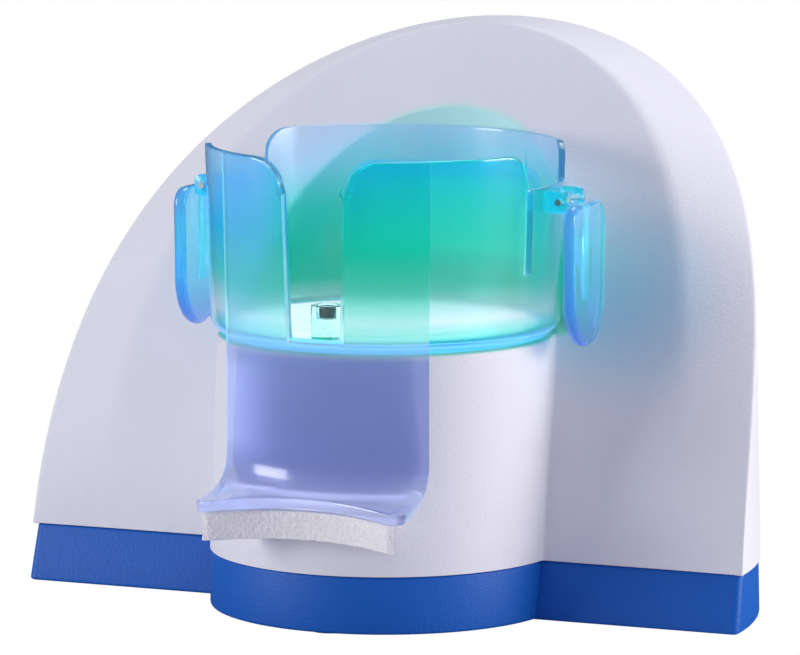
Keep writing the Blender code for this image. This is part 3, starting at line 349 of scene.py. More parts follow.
def turned_piece(
    name: str, profile: Array, centre: Array, steps: int = 96, axis: str = "Z"
) -> bpy.types.Object:
    """A closed solid of revolution: each (radius, height) of the profile carried round an axis.

    Args:
        name: The object's name.
        profile: Rows of radius and height; both ends lie on the axis.
        centre: The axis's foot.
        steps: Points on each circle.
        axis: Which frame axis it turns about, X, Y or Z.

    Returns:
        The object.
    """
    angle = np.linspace(0, 2 * math.pi, steps, endpoint=False)
    radius, height = profile[:, 0, None], profile[:, 1, None]
    across = radius * np.cos(angle)
    up = radius * np.sin(angle)
    along = height + 0 * angle
    order = {"Z": (across, up, along), "Y": (across, along, up), "X": (along, across, up)}[axis]
    points = np.stack(order, -1).reshape(-1, 3) + centre
    faces = outward(points, grid_faces(len(profile), steps, closed=True))
    return new_piece(name, points, faces)


def smoothstep(low: float, high: float, value: Array) -> Array:
    """0 below low, 1 above high, and an S curve between."""
    t = np.clip((value - low) / (high - low), 0, 1)
    return t * t * (3 - 2 * t)


# ------------------------------------------------------------------ finishes


def linear(colour: str) -> tuple[float, float, float, float]:
    """An sRGB hex colour as linear red, green, blue and alpha."""
    parts = [int(colour[i : i + 2], 16) / 255 for i in (0, 2, 4)]
    red, green, blue = (((c + 0.055) / 1.055) ** 2.4 if c > 0.04045 else c / 12.92 for c in parts)
    return red, green, blue, 1.0


def add_node(
    tree: bpy.types.NodeTree, kind: str, inputs: dict[Any, Any] | None = None, **settings: Any
) -> Any:
    """Adds a shader node, sets its options, and fills or links its sockets.

    Args:
        tree: The material's or world's node tree.
        kind: The node's type without its ShaderNode prefix.
        inputs: For each socket's name or number, a value or the socket that feeds it.
        **settings: Options of the node itself.

    Returns:
        The node.
    """
    node = tree.nodes.new("ShaderNode" + kind)
    for name, value in settings.items():
        setattr(node, name, value)
    for name, value in (inputs or {}).items():
        if isinstance(value, bpy.types.NodeSocket):
            tree.links.new(value, node.inputs[name])
        else:
            node.inputs[name].default_value = value
    return node


def ramp(tree: bpy.types.NodeTree, factor: Any, stops: list[tuple[float, str]]) -> Any:
    """A colour ramp through sRGB hex stops; returns its colour socket."""
    node = add_node(tree, "ValToRGB", {"Fac": factor})
    elements = node.color_ramp.elements
    while len(elements) < len(stops):
        elements.new(0.5)
    for element, (place, colour) in zip(elements, stops):
        element.position = place
        element.color = linear(colour)
    return node.outputs["Color"]


def blank(name: str) -> tuple[bpy.types.Material, bpy.types.NodeTree, Any, Any]:
    """A new material: itself, its node tree, its Principled shader and Object coordinates."""
    made = bpy.data.materials.new(name)
    made.use_nodes = True
    tree = made.node_tree
    shader = tree.nodes["Principled BSDF"]
    coordinates = add_node(tree, "TexCoord").outputs["Object"]
    return made, tree, shader, coordinates


class Grain(Enum):
    """How a moulded surface's texture was made, as the noise's detail and lacunarity."""

    SPARK = (3.0, 2.0)
    LEATHER = (1.5, 2.4)
    SATIN = (5.0, 2.0)


@dataclass(frozen=True)
class MouldedPlastic:
    """Injection-moulded plastic such as ABS or nylon, with the mould's spark-eroded texture.

    The fine bump breaks the highlight into a soft sheen, and the colour drifts very slightly
    where the melt cooled unevenly.
    """

    name: str
    colour: str
    roughness: float = 0.5
    grain_mm: float = 0.8
    depth_mm: float = 0.03
    grain: Grain = Grain.SPARK
    drift: float = 0.04
    specular: float = 0.5

    def build(self) -> bpy.types.Material:
        """Makes the material."""
        made, tree, shader, place = blank(self.name)
        detail, lacunarity = self.grain.value
        fine = add_node(
            tree,
            "TexNoise",
            {
                "Vector": place,
                "Scale": 1 / (self.grain_mm * MM),
                "Detail": detail,
                "Lacunarity": lacunarity,
            },
        )
        broad = add_node(tree, "TexNoise", {"Vector": place, "Scale": 22.0, "Detail": 2.0})
        base = np.array(linear(self.colour)[:3])
        low = tuple(base * (1 - self.drift)) + (1.0,)
        high = tuple(np.minimum(base * (1 + self.drift), 1.0)) + (1.0,)
        mix = add_node(tree, "Mix", {0: broad.outputs["Fac"], 6: low, 7: high}, data_type="RGBA")
        bump = add_node(
            tree, "Bump", {
                "Height": fine.outputs["Fac"], "Strength": 0.8, "Distance": self.depth_mm * MM
            }
        )
        rough = add_node(
            tree,
            "MapRange",
            {"Value": fine.outputs["Fac"], 3: self.roughness - 0.06, 4: self.roughness + 0.08},
        )
        tree.links.new(mix.outputs[2], shader.inputs["Base Color"])
        tree.links.new(bump.outputs["Normal"], shader.inputs["Normal"])
        tree.links.new(rough.outputs["Result"], shader.inputs["Roughness"])
        shader.inputs["IOR"].default_value = 1.53
        shader.inputs["Specular IOR Level"].default_value = self.specular
        return made


@dataclass(frozen=True)
class LitHousing(MouldedPlastic):
    """The white ABS of the housing, with the niche's green window light and the light that it
    spills on the panel painted into its colour and glow.
    """

    axis_y: float = 0.0
    niche_radius: float = 68.0 * MM
    niche_floor: float = 97.2 * MM

    def build(self) -> bpy.types.Material:
        """Makes the material: white ABS, with painted window light, in colour and glow, where the
        window lights it.
        """
        made = super().build()
        tree = made.node_tree
        shader = tree.nodes["Principled BSDF"]
        place = tree.nodes["Texture Coordinate"].outputs["Object"]
        parts = add_node(tree, "SeparateXYZ", {0: place})
        x, y, z = parts.outputs
        from_axis = add_node(tree, "Math", {0: y, 1: self.axis_y}, operation="SUBTRACT").outputs[0]
        flat = add_node(tree, "CombineXYZ", {"X": x, "Y": from_axis}).outputs[0]
        reach = add_node(tree, "VectorMath", {0: flat}, operation="LENGTH").outputs["Value"]
        inside = add_node(
            tree,
            "MapRange",
            {
                "Value": reach,
                1: self.niche_radius + 2.2 * MM,
                2: self.niche_radius - 1.0 * MM,
                3: 0.0,
                4: 1.0,
            },
            interpolation_type="SMOOTHSTEP",
        ).outputs[0]
        above = add_node(
            tree,
            "MapRange",
            {
                "Value": z,
                1: self.niche_floor - 1.0 * MM,
                2: self.niche_floor + 1.0 * MM,
                3: 0.0,
                4: 1.0,
            },
        ).outputs[0]
        lit = add_node(tree, "Math", {0: inside, 1: above}, operation="MULTIPLY").outputs[0]
        # Painted window light: a green colour and glow on the niche's walls, paler with height.
        painted_window_light = ramp(
            tree,
            add_node(
                tree, "MapRange", {
                    "Value": z, 1: self.niche_floor, 2: self.niche_floor + 66 * MM, 3: 0.0, 4: 1.0
                }
            ).outputs[0],
            [
                (0.0, "08B48C"),
                (0.35, "10B894"),
                (0.62, "4CC8AE"),
                (0.85, "8FD6C8"),
                (1.0, "A6DCD4"),
            ],
        )
        # Painted light: a pale blue pool beside the cup, where the window's light spills onto the
        # panel.
        painted_spill_centre = (0.080, self.axis_y + 0.014, 0.118)
        painted_spill_way = add_node(
            tree, "VectorMath", {0: place, 1: painted_spill_centre}, operation="DISTANCE"
        ).outputs["Value"]
        painted_spill = add_node(
            tree,
            "MapRange",
            {"Value": painted_spill_way, 1: 0.052, 2: 0.006, 3: 0.0, 4: 0.6},
            interpolation_type="SMOOTHSTEP",
        ).outputs[0]
        old = shader.inputs["Base Color"].links[0].from_socket
        with_painted_spill = add_node(
            tree, "Mix", {0: painted_spill, 6: old, 7: linear("8CCDE8")}, data_type="RGBA"
        ).outputs[2]
        painted_light_colour = add_node(
            tree,
            "Mix",
            {
                0: add_node(tree, "Math", {0: lit, 1: 0.92}, operation="MULTIPLY").outputs[0],
                6: with_painted_spill,
                7: painted_window_light,
            },
            data_type="RGBA",
        ).outputs[2]
        tree.links.new(painted_light_colour, shader.inputs["Base Color"])
        tree.links.new(painted_window_light, shader.inputs["Emission Color"])
        glow = add_node(tree, "Math", {0: lit, 1: 0.22}, operation="MULTIPLY").outputs[0]
        tree.links.new(glow, shader.inputs["Emission Strength"])
        return made


@dataclass(frozen=True)
class Zone:
    """Colour ramps of one side of a wall, from its foot to its rim: a tint and a painted glow, both
    painting in the window's light.
    """

    tints_and_painted_light: list[tuple[float, str]]
    painted_glows: list[tuple[float, str]]


@dataclass(frozen=True)
class FrostedPolycarbonate:
    """Tinted polycarbonate, moulded in a polished tool and lightly frosted inside.

    The tint is in the plastic itself, so cut edges, where light runs through the wall, look
    deeper than its faces. Its surface tint and its glow, which change with height, are partly
    painted light: the niche's window light and the white floor seen through the wall. Painted
    glow also lights cut edges and the lip, and the polished outside keeps a sharp highlight.
    """

    name: str
    stops: list[tuple[float, str]]
    painted_glow_stops: list[tuple[float, str]]
    low: float
    high: float
    roughness: float = 0.13
    transmission: float = 0.94
    glow: float = 0.2
    depth_colour: str = "30B4F0"
    density: float = 70.0
    floor_height: float = 0.0
    floor_radius: float = 0.0
    axis_y: float = 0.0
    rim_height: float = 0.0
    painted_side_light: str = ""
    edge: str = ""
    edge_glow: float = 0.4
    upright_edges: bool = False
    rear: Zone | None = None
    right: Zone | None = None

    def build(self) -> bpy.types.Material:
        """Makes the material: a tint and a painted glow that follow height, and absorption inside.
        """
        made, tree, shader, place = blank(self.name)
        parts = add_node(tree, "SeparateXYZ", {0: place})
        height = parts.outputs["Z"]
        cloud = add_node(
            tree, "TexNoise", {"Vector": place, "Scale": 40.0, "Detail": 1.0}
        ).outputs["Fac"]
        share = add_node(
            tree, "MapRange", {"Value": height, 1: self.low, 2: self.high, 3: 0.0, 4: 1.0}
        ).outputs[0]
        tint = ramp(tree, share, self.stops)
        light = ramp(tree, share, self.painted_glow_stops)
        frost = add_node(
            tree, "TexNoise", {"Vector": place, "Scale": 1 / (0.5 * MM), "Detail": 2.0}
        ).outputs["Fac"]
        rough = add_node(
            tree, "MapRange", {"Value": frost, 3: self.roughness - 0.04, 4: self.roughness + 0.06}
        ).outputs[0]
        bump = add_node(tree, "Bump", {"Height": frost, "Strength": 0.15, "Distance": 0.01 * MM})
        strength = add_node(
            tree, "MapRange", {"Value": cloud, 3: self.glow * 0.85, 4: self.glow * 1.15}
        ).outputs[0]
        clear: Any = self.transmission
        if self.right:
            tint, light = self.vary_round(tree, parts, share, tint, light)
        if self.edge:
            light, strength = self.light_edges(tree, parts, light, strength)
        if self.floor_radius:
            tint, light, strength, clear = self.whiten_floor(tree, parts, tint, light, strength)
            tree.links.new(clear, shader.inputs["Transmission Weight"])
        else:
            shader.inputs["Transmission Weight"].default_value = clear
        if self.rim_height:
            light, strength = self.light_lip(tree, parts, light, strength)
        tree.links.new(tint, shader.inputs["Base Color"])
        tree.links.new(light, shader.inputs["Emission Color"])
        tree.links.new(strength, shader.inputs["Emission Strength"])
        tree.links.new(rough, shader.inputs["Roughness"])
        tree.links.new(bump.outputs["Normal"], shader.inputs["Normal"])
        shader.inputs["IOR"].default_value = 1.4
        shader.inputs["Coat Weight"].default_value = 0.5
        shader.inputs["Coat Roughness"].default_value = 0.2
        depth = add_node(
            tree, "VolumeAbsorption", {"Color": linear(self.depth_colour), "Density": self.density}
        )
        tree.links.new(depth.outputs[0], tree.nodes["Material Output"].inputs["Volume"])
        return made

    def light_edges(self, tree: Any, parts: Any, light: Any, strength: Any) -> tuple[Any, Any]:
        """Paints a glow on the cut edges, standing in for the light carried inside the wall that
        comes out there.

        Args:
            tree: The material's node tree.
            parts: The node that splits the place into X, Y and Z.
            light: The wall's glow colour socket.
            strength: The wall's glow strength socket.

        Returns:
            The sockets of glow colour and glow strength.
        """
        x, y, _ = parts.outputs
        from_axis = add_node(tree, "Math", {0: y, 1: self.axis_y}, operation="SUBTRACT").outputs[0]
        flat = add_node(tree, "CombineXYZ", {"X": x, "Y": from_axis}).outputs[0]
        radial = add_node(tree, "VectorMath", {0: flat}, operation="NORMALIZE").outputs["Vector"]
        normal = add_node(tree, "NewGeometry").outputs["Normal"]
        along = add_node(
            tree, "VectorMath", {0: radial, 1: normal}, operation="DOT_PRODUCT"
        ).outputs["Value"]
        size = add_node(tree, "Math", {0: along}, operation="ABSOLUTE").outputs[0]
        if self.upright_edges:
            rise = add_node(tree, "SeparateXYZ", {0: normal}).outputs["Z"]
            level = add_node(tree, "Math", {0: rise}, operation="ABSOLUTE").outputs[0]
            size = add_node(tree, "Math", {0: size, 1: level}, operation="MAXIMUM").outputs[0]
        cut = add_node(tree, "MapRange", {"Value": size, 1: 0.72, 2: 0.3}).outputs[0]
        light = add_node(
            tree, "Mix", {0: cut, 6: light, 7: linear(self.edge)}, data_type="RGBA"
        ).outputs[2]
        strength = add_node(tree, "Mix", {0: cut, 2: strength, 3: self.edge_glow}).outputs[0]
        return light, strength

    def vary_round(
        self, tree: Any, parts: Any, share: Any, tint: Any, light: Any
    ) -> tuple[Any, Any]:
        """Changes the tint and the painted glow behind the axis and at the front right, painting in
        the window's light where it is near.

        Args:
            tree: The material's node tree.
            parts: The node that splits the place into X, Y and Z.
            share: The height's socket, 0 at the floor and 1 at the rim.
            tint: The wall's tint socket.
            light: The wall's glow colour socket.

        Returns:
            The sockets of tint and glow colour.
        """
        x, y, _ = parts.outputs
        behind = add_node(
            tree, "MapRange", {"Value": y, 1: self.axis_y - 4 * MM, 2: self.axis_y + 16 * MM}
        ).outputs[0]
        right = add_node(tree, "MapRange", {"Value": x, 1: -22 * MM, 2: -4 * MM}).outputs[0]
        before = add_node(tree, "MapRange", {"Value": behind, 3: 1.0, 4: 0.0}).outputs[0]
        beside = add_node(tree, "Math", {0: right, 1: before}, operation="MULTIPLY").outputs[0]
        for weight, zone in ((behind, self.rear), (beside, self.right)):
            if zone is None:
                continue
            tint = add_node(
                tree, "Mix", {
                    0: weight, 6: tint, 7: ramp(tree, share, zone.tints_and_painted_light)
                }, data_type="RGBA"
            ).outputs[2]
            light = add_node(
                tree, "Mix", {
                    0: weight, 6: light, 7: ramp(tree, share, zone.painted_glows)
                }, data_type="RGBA"
            ).outputs[2]
        return tint, light

    def light_lip(self, tree: Any, parts: Any, light: Any, strength: Any) -> tuple[Any, Any]:
        """Paints a highlight, as glow, on the lip's front face and on the apron's left side.

        Args:
            tree: The material's node tree.
            parts: The node that splits the place into X, Y and Z.
            light: The wall's glow colour socket.
            strength: The wall's glow strength socket.

        Returns:
            The sockets of glow colour and glow strength.
        """
        x, _, z = parts.outputs
        facing = add_node(
            tree, "SeparateXYZ", {0: add_node(tree, "NewGeometry").outputs["Normal"]}
        ).outputs["Y"]
        front = add_node(tree, "MapRange", {"Value": facing, 1: -0.35, 2: -0.8}).outputs[0]
        low = add_node(
            tree, "MapRange", {"Value": z, 1: self.rim_height + 1.5 * MM, 2: self.rim_height}
        ).outputs[0]
        rim = add_node(tree, "Math", {0: front, 1: low}, operation="MULTIPLY").outputs[0]
        left = add_node(
            tree,
            "MapRange",
            {"Value": x, 1: -10 * MM, 2: -38 * MM, 3: 0.0, 4: 0.56},
            interpolation_type="SMOOTHSTEP",
        ).outputs[0]
        under = add_node(tree, "MapRange", {"Value": z, 1: 102 * MM, 2: 90 * MM}).outputs[0]
        above = add_node(
            tree, "MapRange", {
                "Value": z, 1: self.rim_height + 3 * MM, 2: self.rim_height + 16 * MM
            }
        ).outputs[0]
        wall = add_node(tree, "Math", {0: under, 1: above}, operation="MULTIPLY").outputs[0]
        side = add_node(tree, "Math", {0: left, 1: wall}, operation="MULTIPLY").outputs[0]
        lit = add_node(tree, "Math", {0: rim, 1: side}, operation="MAXIMUM").outputs[0]
        light = add_node(
            tree, "Mix", {0: lit, 6: light, 7: linear(self.painted_side_light)}, data_type="RGBA"
        ).outputs[2]
        strength = add_node(tree, "Mix", {0: lit, 2: strength, 3: 0.52}).outputs[0]
        return light, strength

    def whiten_floor(
        self, tree: Any, parts: Any, tint: Any, light: Any, strength: Any
    ) -> tuple[Any, ...]:
        """Makes the cup's floor a frosted white with a painted white glow, both fading out towards
        its wall.

        Args:
            tree: The material's node tree.
            parts: The node that splits the place into X, Y and Z.
            tint: The wall's tint socket.
            light: The wall's glow colour socket.
            strength: The wall's glow strength socket.

        Returns:
            The sockets of tint, glow colour, glow strength and transmission.
        """
        x, y, z = parts.outputs
        from_axis = add_node(tree, "Math", {0: y, 1: self.axis_y}, operation="SUBTRACT").outputs[0]
        flat = add_node(tree, "CombineXYZ", {"X": x, "Y": from_axis}).outputs[0]
        reach = add_node(tree, "VectorMath", {0: flat}, operation="LENGTH").outputs["Value"]
        inside = add_node(
            tree, "MapRange", {"Value": reach, 1: self.floor_radius, 2: self.floor_radius - 4 * MM}
        ).outputs[0]
        low = add_node(
            tree, "MapRange", {
                "Value": z, 1: self.floor_height + 2 * MM, 2: self.floor_height + 0.8 * MM
            }
        ).outputs[0]
        floor = add_node(tree, "Math", {0: inside, 1: low}, operation="MULTIPLY").outputs[0]
        tint = add_node(
            tree, "Mix", {0: floor, 6: tint, 7: linear("F2FBFF")}, data_type="RGBA"
        ).outputs[2]
        light = add_node(
            tree, "Mix", {0: floor, 6: light, 7: linear("F4F2F4")}, data_type="RGBA"
        ).outputs[2]
        strength = add_node(tree, "Mix", {0: floor, 2: strength, 3: 0.6}).outputs[0]
        clear = add_node(tree, "Mix", {0: floor, 2: self.transmission, 3: 0.15}).outputs[0]
        return tint, light, strength, clear


@dataclass(frozen=True)
class ClearAcrylic:
    """Polished clear acrylic: nearly colourless, with crisp refraction and a green cast."""

    name: str
    colour: str = "D6F5EE"
    roughness: float = 0.03

    def build(self) -> bpy.types.Material:
        """Makes the material, with faint polishing marks in its roughness."""
        made, tree, shader, place = blank(self.name)
        marks = add_node(
            tree, "TexNoise", {"Vector": place, "Scale": 1 / (1.5 * MM), "Detail": 3.0}
        )
        rough = add_node(
            tree, "MapRange", {
                "Value": marks.outputs["Fac"], 3: self.roughness, 4: self.roughness + 0.05
            }
        )
        tint = ramp(tree, marks.outputs["Fac"], [(0.3, self.colour), (0.7, "E6FAF5")])
        tree.links.new(tint, shader.inputs["Base Color"])
        tree.links.new(rough.outputs[0], shader.inputs["Roughness"])
        shader.inputs["Transmission Weight"].default_value = 1.0
        shader.inputs["IOR"].default_value = 1.49
        return made


@dataclass(frozen=True)
class LitDiffuser:
    """A satin diffuser with light-emitting diodes behind it: brightest in its middle."""

    name: str
    centre: tuple[float, float, float]
    edge: str = "14B0A4"
    heart: str = "08BC9C"
    strength: float = 0.95

    def build(self) -> bpy.types.Material:
        """Makes the material: an emissive glow that fades from its middle to its edge."""
        made, tree, shader, place = blank(self.name)
        away = add_node(
            tree, "VectorMath", {0: place, 1: self.centre}, operation="DISTANCE"
        ).outputs["Value"]
        share = add_node(
            tree, "MapRange", {"Value": away, 1: 0.0, 2: 0.042, 3: 1.0, 4: 0.0}
        ).outputs[0]
        tint = ramp(tree, share, [(0.0, self.edge), (1.0, self.heart)])
        satin = add_node(
            tree, "TexNoise", {"Vector": place, "Scale": 1 / (0.4 * MM), "Detail": 2.0}
        )
        bump = add_node(
            tree, "Bump", {"Height": satin.outputs["Fac"], "Strength": 0.2, "Distance": 0.01 * MM}
        )
        tree.links.new(tint, shader.inputs["Base Color"])
        tree.links.new(tint, shader.inputs["Emission Color"])
        tree.links.new(bump.outputs["Normal"], shader.inputs["Normal"])
        shader.inputs["Emission Strength"].default_value = self.strength
        shader.inputs["Roughness"].default_value = 0.35
        return made


@dataclass(frozen=True)
class OpenCellFoam:
    """Soft open-cell polyurethane foam: matt off-white, with pores about half a millimetre wide."""

    name: str
    colour: str = "F6F2F0"
    pore_mm: float = 0.75

    def build(self) -> bpy.types.Material:
        """Makes the material: dark pores between pale struts, as colour and bump."""
        made, tree, shader, place = blank(self.name)
        cells = add_node(
            tree, "TexVoronoi", {
                "Vector": place, "Scale": 1 / (self.pore_mm * MM), "Randomness": 1.0
            }
        ).outputs["Distance"]
        cloud = add_node(
            tree, "TexNoise", {"Vector": place, "Scale": 1 / (2.4 * MM), "Detail": 4.0}
        ).outputs["Fac"]
        pores = ramp(
            tree, cells, [(0.0, "D2CCCE"), (0.3, "EAE5E4"), (0.65, self.colour), (1.0, "F6F3F2")]
        )
        tint = add_node(
            tree, "Mix", {0: cloud, 6: pores, 7: linear("FAF7F5")}, data_type="RGBA"
        ).outputs[2]
        bump = add_node(tree, "Bump", {"Height": cells, "Strength": 0.7, "Distance": 0.35 * MM})
        tree.links.new(tint, shader.inputs["Base Color"])
        tree.links.new(bump.outputs["Normal"], shader.inputs["Normal"])
        shader.inputs["Roughness"].default_value = 0.95
        shader.inputs["Sheen Weight"].default_value = 0.25
        return made


@dataclass(frozen=True)
class WorkedMetal:
    """A bare or plated metal with fine tool marks that stretch its highlight."""

    name: str
    colour: str
    roughness: float = 0.28
    mark_mm: float = 0.25

    def build(self) -> bpy.types.Material:
        """Makes the material: metal with streaked roughness."""
        made, tree, shader, place = blank(self.name)
        streak = add_node(
            tree, "Mapping", {"Vector": place, "Scale": (1.0, 1.0, 0.12)}
        ).outputs[0]
        marks = add_node(
            tree, "TexNoise", {"Vector": streak, "Scale": 1 / (self.mark_mm * MM), "Detail": 3.0}
        ).outputs["Fac"]
        rough = add_node(
            tree, "MapRange", {"Value": marks, 3: self.roughness - 0.08, 4: self.roughness + 0.12}
        ).outputs[0]
        base = np.array(linear(self.colour)[:3])
        tint = add_node(
            tree,
            "Mix",
            {
                0: marks,
                6: tuple(base * 0.88) + (1.0,),
                7: tuple(np.minimum(base * 1.1, 1)) + (1.0,),
            },
            data_type="RGBA",
        ).outputs[2]
        bump = add_node(tree, "Bump", {"Height": marks, "Strength": 0.2, "Distance": 0.01 * MM})
        tree.links.new(tint, shader.inputs["Base Color"])
        tree.links.new(rough, shader.inputs["Roughness"])
        tree.links.new(bump.outputs["Normal"], shader.inputs["Normal"])
        shader.inputs["Metallic"].default_value = 1.0
        return made


@dataclass(frozen=True)
class CircuitBoard:
    """Glass-epoxy board under green solder resist, with copper tracks showing through it."""

    name: str
    resist: str = "1E6B42"
    track: str = "2F8A55"
    pitch_mm: float = 2.54

    def build(self) -> bpy.types.Material:
        """Makes the material: a square pattern of raised tracks at the usual pitch."""
        made, tree, shader, place = blank(self.name)
        tracks = add_node(
            tree,
            "TexVoronoi",
            {"Vector": place, "Scale": 1 / (self.pitch_mm * MM), "Randomness": 0.55},
            distance="MANHATTAN",
            feature="F1",
        ).outputs["Distance"]
        tint = ramp(tree, tracks, [(0.25, self.resist), (0.4, self.track), (0.6, self.resist)])
        bump = add_node(tree, "Bump", {"Height": tracks, "Strength": 0.3, "Distance": 0.03 * MM})
        tree.links.new(tint, shader.inputs["Base Color"])
        tree.links.new(bump.outputs["Normal"], shader.inputs["Normal"])
        shader.inputs["Roughness"].default_value = 0.3
        return made


# ------------------------------------------------------------------ housing


@dataclass
class Housing:
    """The white shell: a half disc swept back into a sail, with the column and the niche."""

    sizes: Sizes
    band: Sweep = Sweep(-8.57, 0.00758, 1.84)
    panel: Sweep = Sweep(-7.14, 0.00393, 1.92)
    rows_below: int = 56
    rows_above: int = 84
    outer_round: float = 1.5 * MM
    band_round: float = 3.2 * MM
    foot_fillet: float = 1.3 * MM
    niche_fillet: float = 3.2 * MM
    column_round: float = 0.9 * MM

    @property
    def bottom(self) -> float:
        """Height of the shell's lower rim."""
        return self.sizes.seam + self.sizes.gap / 2

    def outlines(self) -> tuple[Array, Array, Array, int]:
        """The outer and inner outlines of the sail's front, row by row.

        Each outline lies on its own drafted circle and its own sweep. Rows are spaced evenly
        along the outer outline, and one falls on the niche's floor.

        Returns:
            The outer outline, the inner one, each row's angle round the disc on the outer
            circle, and the number of the row at the niche's floor.
        """
        sizes = self.sizes
        dense = np.linspace(0, 1, 6000)
        lines = []
        angles = []
        for radius, sweep in ((sizes.disc_radius, self.band), (sizes.panel_radius, self.panel)):
            edge = radius - sizes.wall_draft * self.bottom
            start = math.asin(
                (float(sweep.depth(np.array(self.bottom))) - sizes.disc_centre) / edge
            )
            angle = start + (math.pi / 2 - start) * dense
            height = np.full_like(angle, self.bottom)
            for _ in range(8):
                reach = radius - sizes.wall_draft * height
                height = np.maximum(
                    sweep.height(sizes.disc_centre + reach * np.sin(angle)), self.bottom
                )
            y = sizes.disc_centre + reach * np.sin(angle)
            x = reach * np.cos(angle)
            x[-1] = 0.0
            lines.append(np.stack([x, y, height], -1))
            angles.append(angle)
        outer, inner = lines
        steps = np.linalg.norm(np.diff(outer, axis=0), axis=1) + np.linalg.norm(
            np.diff(inner, axis=0), axis=1
        )
        length = np.concatenate([[0.0], np.cumsum(steps)])
        floor = np.interp(sizes.niche_floor, inner[:, 2], length)
        low = np.linspace(0, floor, self.rows_below)
        high = np.linspace(floor, length[-1], self.rows_above)
        places = np.concatenate([low, high[1:]])
        sample = [
            np.stack(
                [np.interp(places, length, line[:, axis]) for axis in range(3)], -1
            ) for line in (outer, inner)
        ]
        sample[1][self.rows_below - 1, 2] = sizes.niche_floor
        return sample[0], sample[1], np.interp(places, length, angles[0]), self.rows_below - 1

    def middle(self, depth: Array, height: Array, radius: Array, niche: bool) -> Array:
        """The right half of a row's middle: from the panel, round a fillet, to the arc's middle.

        Args:
            depth: The panel's y for each row.
            height: Each row's height.
            radius: The arc's radius for each row, about the column's axis.
            niche: True for the niche's hollow arc, False for the column's round front.

        Returns:
            Points of shape (rows, 13 + 26, 3), about the column's axis.
        """
        edge = self.niche_edge(depth)
        depth, radius, height = depth[:, None], radius[:, None], height[:, None]
        if niche:
            fillet = self.niche_fillet
            middle_y = depth + fillet
            middle_x = np.sqrt(np.maximum((radius + fillet) ** 2 - middle_y**2, 0))
            turn = np.linspace(0, 1, 13)
            end = np.arctan2(-middle_y, -middle_x)
            angle = -math.pi / 2 + (end + math.pi / 2) * turn
            bend = [middle_x + fillet * np.cos(angle), middle_y + fillet * np.sin(angle)]
            start = np.arctan2(middle_y, middle_x)
            sweep = start + (math.pi / 2 - start) * np.linspace(0, 1, 27)[1:]
            arc = [radius * np.cos(sweep), radius * np.sin(sweep)]
            past = depth > radius - 1e-9
            arc = [np.where(past, 0.0, arc[0]), np.where(past, depth, arc[1])]
            bend = [np.where(past, 0.0, bend[0]), np.where(past, depth, bend[1])]
        else:
            fillet = self.foot_fillet
            middle_y = depth - fillet
            middle_x = np.sqrt(np.maximum((radius + fillet) ** 2 - middle_y**2, 0))
            turn = np.linspace(0, 1, 8)
            end = np.arctan2(-middle_y, -middle_x) % (2 * math.pi)
            angle = math.pi / 2 + (end - math.pi / 2) * turn
            straight = edge[:, None] + (middle_x - edge[:, None]) * np.linspace(0, 1, 6)[:-1]
            bend = [
                np.concatenate([straight, middle_x + fillet * np.cos(angle)], 1),
                np.concatenate([depth + 0 * straight, middle_y + fillet * np.sin(angle)], 1),
            ]
            start = np.arctan2(middle_y, middle_x)
            sweep = start + (-math.pi / 2 - start) * np.linspace(0, 1, 27)[1:]
            arc = [radius * np.cos(sweep), radius * np.sin(sweep)]
        x = np.concatenate([bend[0], arc[0]], 1)
        x[:, -1] = 0.0
        y = np.concatenate([bend[1], arc[1]], 1)
        return np.stack([x, y, height + 0 * x], -1)

    def niche_edge(self, depth: Array) -> Array:
        """Half the niche's width at the panel, where its rounded edge begins."""
        outer = self.sizes.niche_radius + self.niche_fillet
        return np.sqrt(np.maximum(outer**2 - (depth + self.niche_fillet) ** 2, 0))

    def surface(self) -> tuple[Array, Array]:
        """The shell's outer skin as one grid, from wall to wall across the front in every row.

        The niche's floor is left open.

        Returns:
            Points about the frame's origin and quads.
        """
        sizes = self.sizes
        outer, inner, angle, floor_row = self.outlines()
        rows = list(range(floor_row + 1)) + [floor_row] * 4 + list(range(floor_row + 1, len(outer)))
        pick = np.array(rows)
        outer, inner, angle = outer[pick], inner[pick], angle[pick]
        flat_radius = sizes.disc_radius - sizes.wall_draft * self.bottom
        skirt = np.stack(
            [
                flat_radius * np.cos(angle),
                sizes.disc_centre + flat_radius * np.sin(angle),
                np.full_like(angle, self.bottom),
            ],
            -1,
        )
        skirt[-1, 0] = 0.0
        down = unit(skirt - outer)
        inwards = unit(inner - outer)
        wall_run = np.linalg.norm(skirt - outer, axis=1, keepdims=True)
        band_run = np.linalg.norm(inner - outer, axis=1, keepdims=True)
        outer_step = np.minimum(self.outer_round, 0.45 * wall_run)
        edge = np.stack([self.niche_edge(inner[:, 1]), inner[:, 1], inner[:, 2]], -1)
        panel_run = np.maximum(inner[:, :1] - edge[:, :1], 0)
        edge[:, 0] = np.minimum(edge[:, 0], inner[:, 0])
        band_step = np.minimum(self.band_round, 0.45 * panel_run)
        over = curve_between(
            outer + down * outer_step, outer, outer + inwards * np.minimum(
                self.outer_round, 0.3 * band_run
            ), 6
        )
        along = np.array([-1.0, 0.0, 0.0])
        crease = curve_between(
            inner - inwards * np.minimum(
                self.band_round, 0.3 * band_run
            ), inner, inner + along * band_step, 7
        )
        right = np.concatenate(
            [
                skirt[:, None],
                line_between(skirt, over[:, 0], 12),
                over,
                line_between(over[:, -1], crease[:, 0], 6),
                crease,
                line_between(crease[:, -1], edge, 12),
            ],
            axis=1,
        )
        height, depth = inner[:, 2].copy(), inner[:, 1]
        column_radius = np.asarray(sizes.column(height)).copy()
        drop = np.array([-1.0, -0.29, 0.0]) * self.column_round
        shrink = np.array([0.0, 0.29, 1.0]) * self.column_round
        column_height = height.copy()
        column_height[floor_row + np.arange(3)] += drop
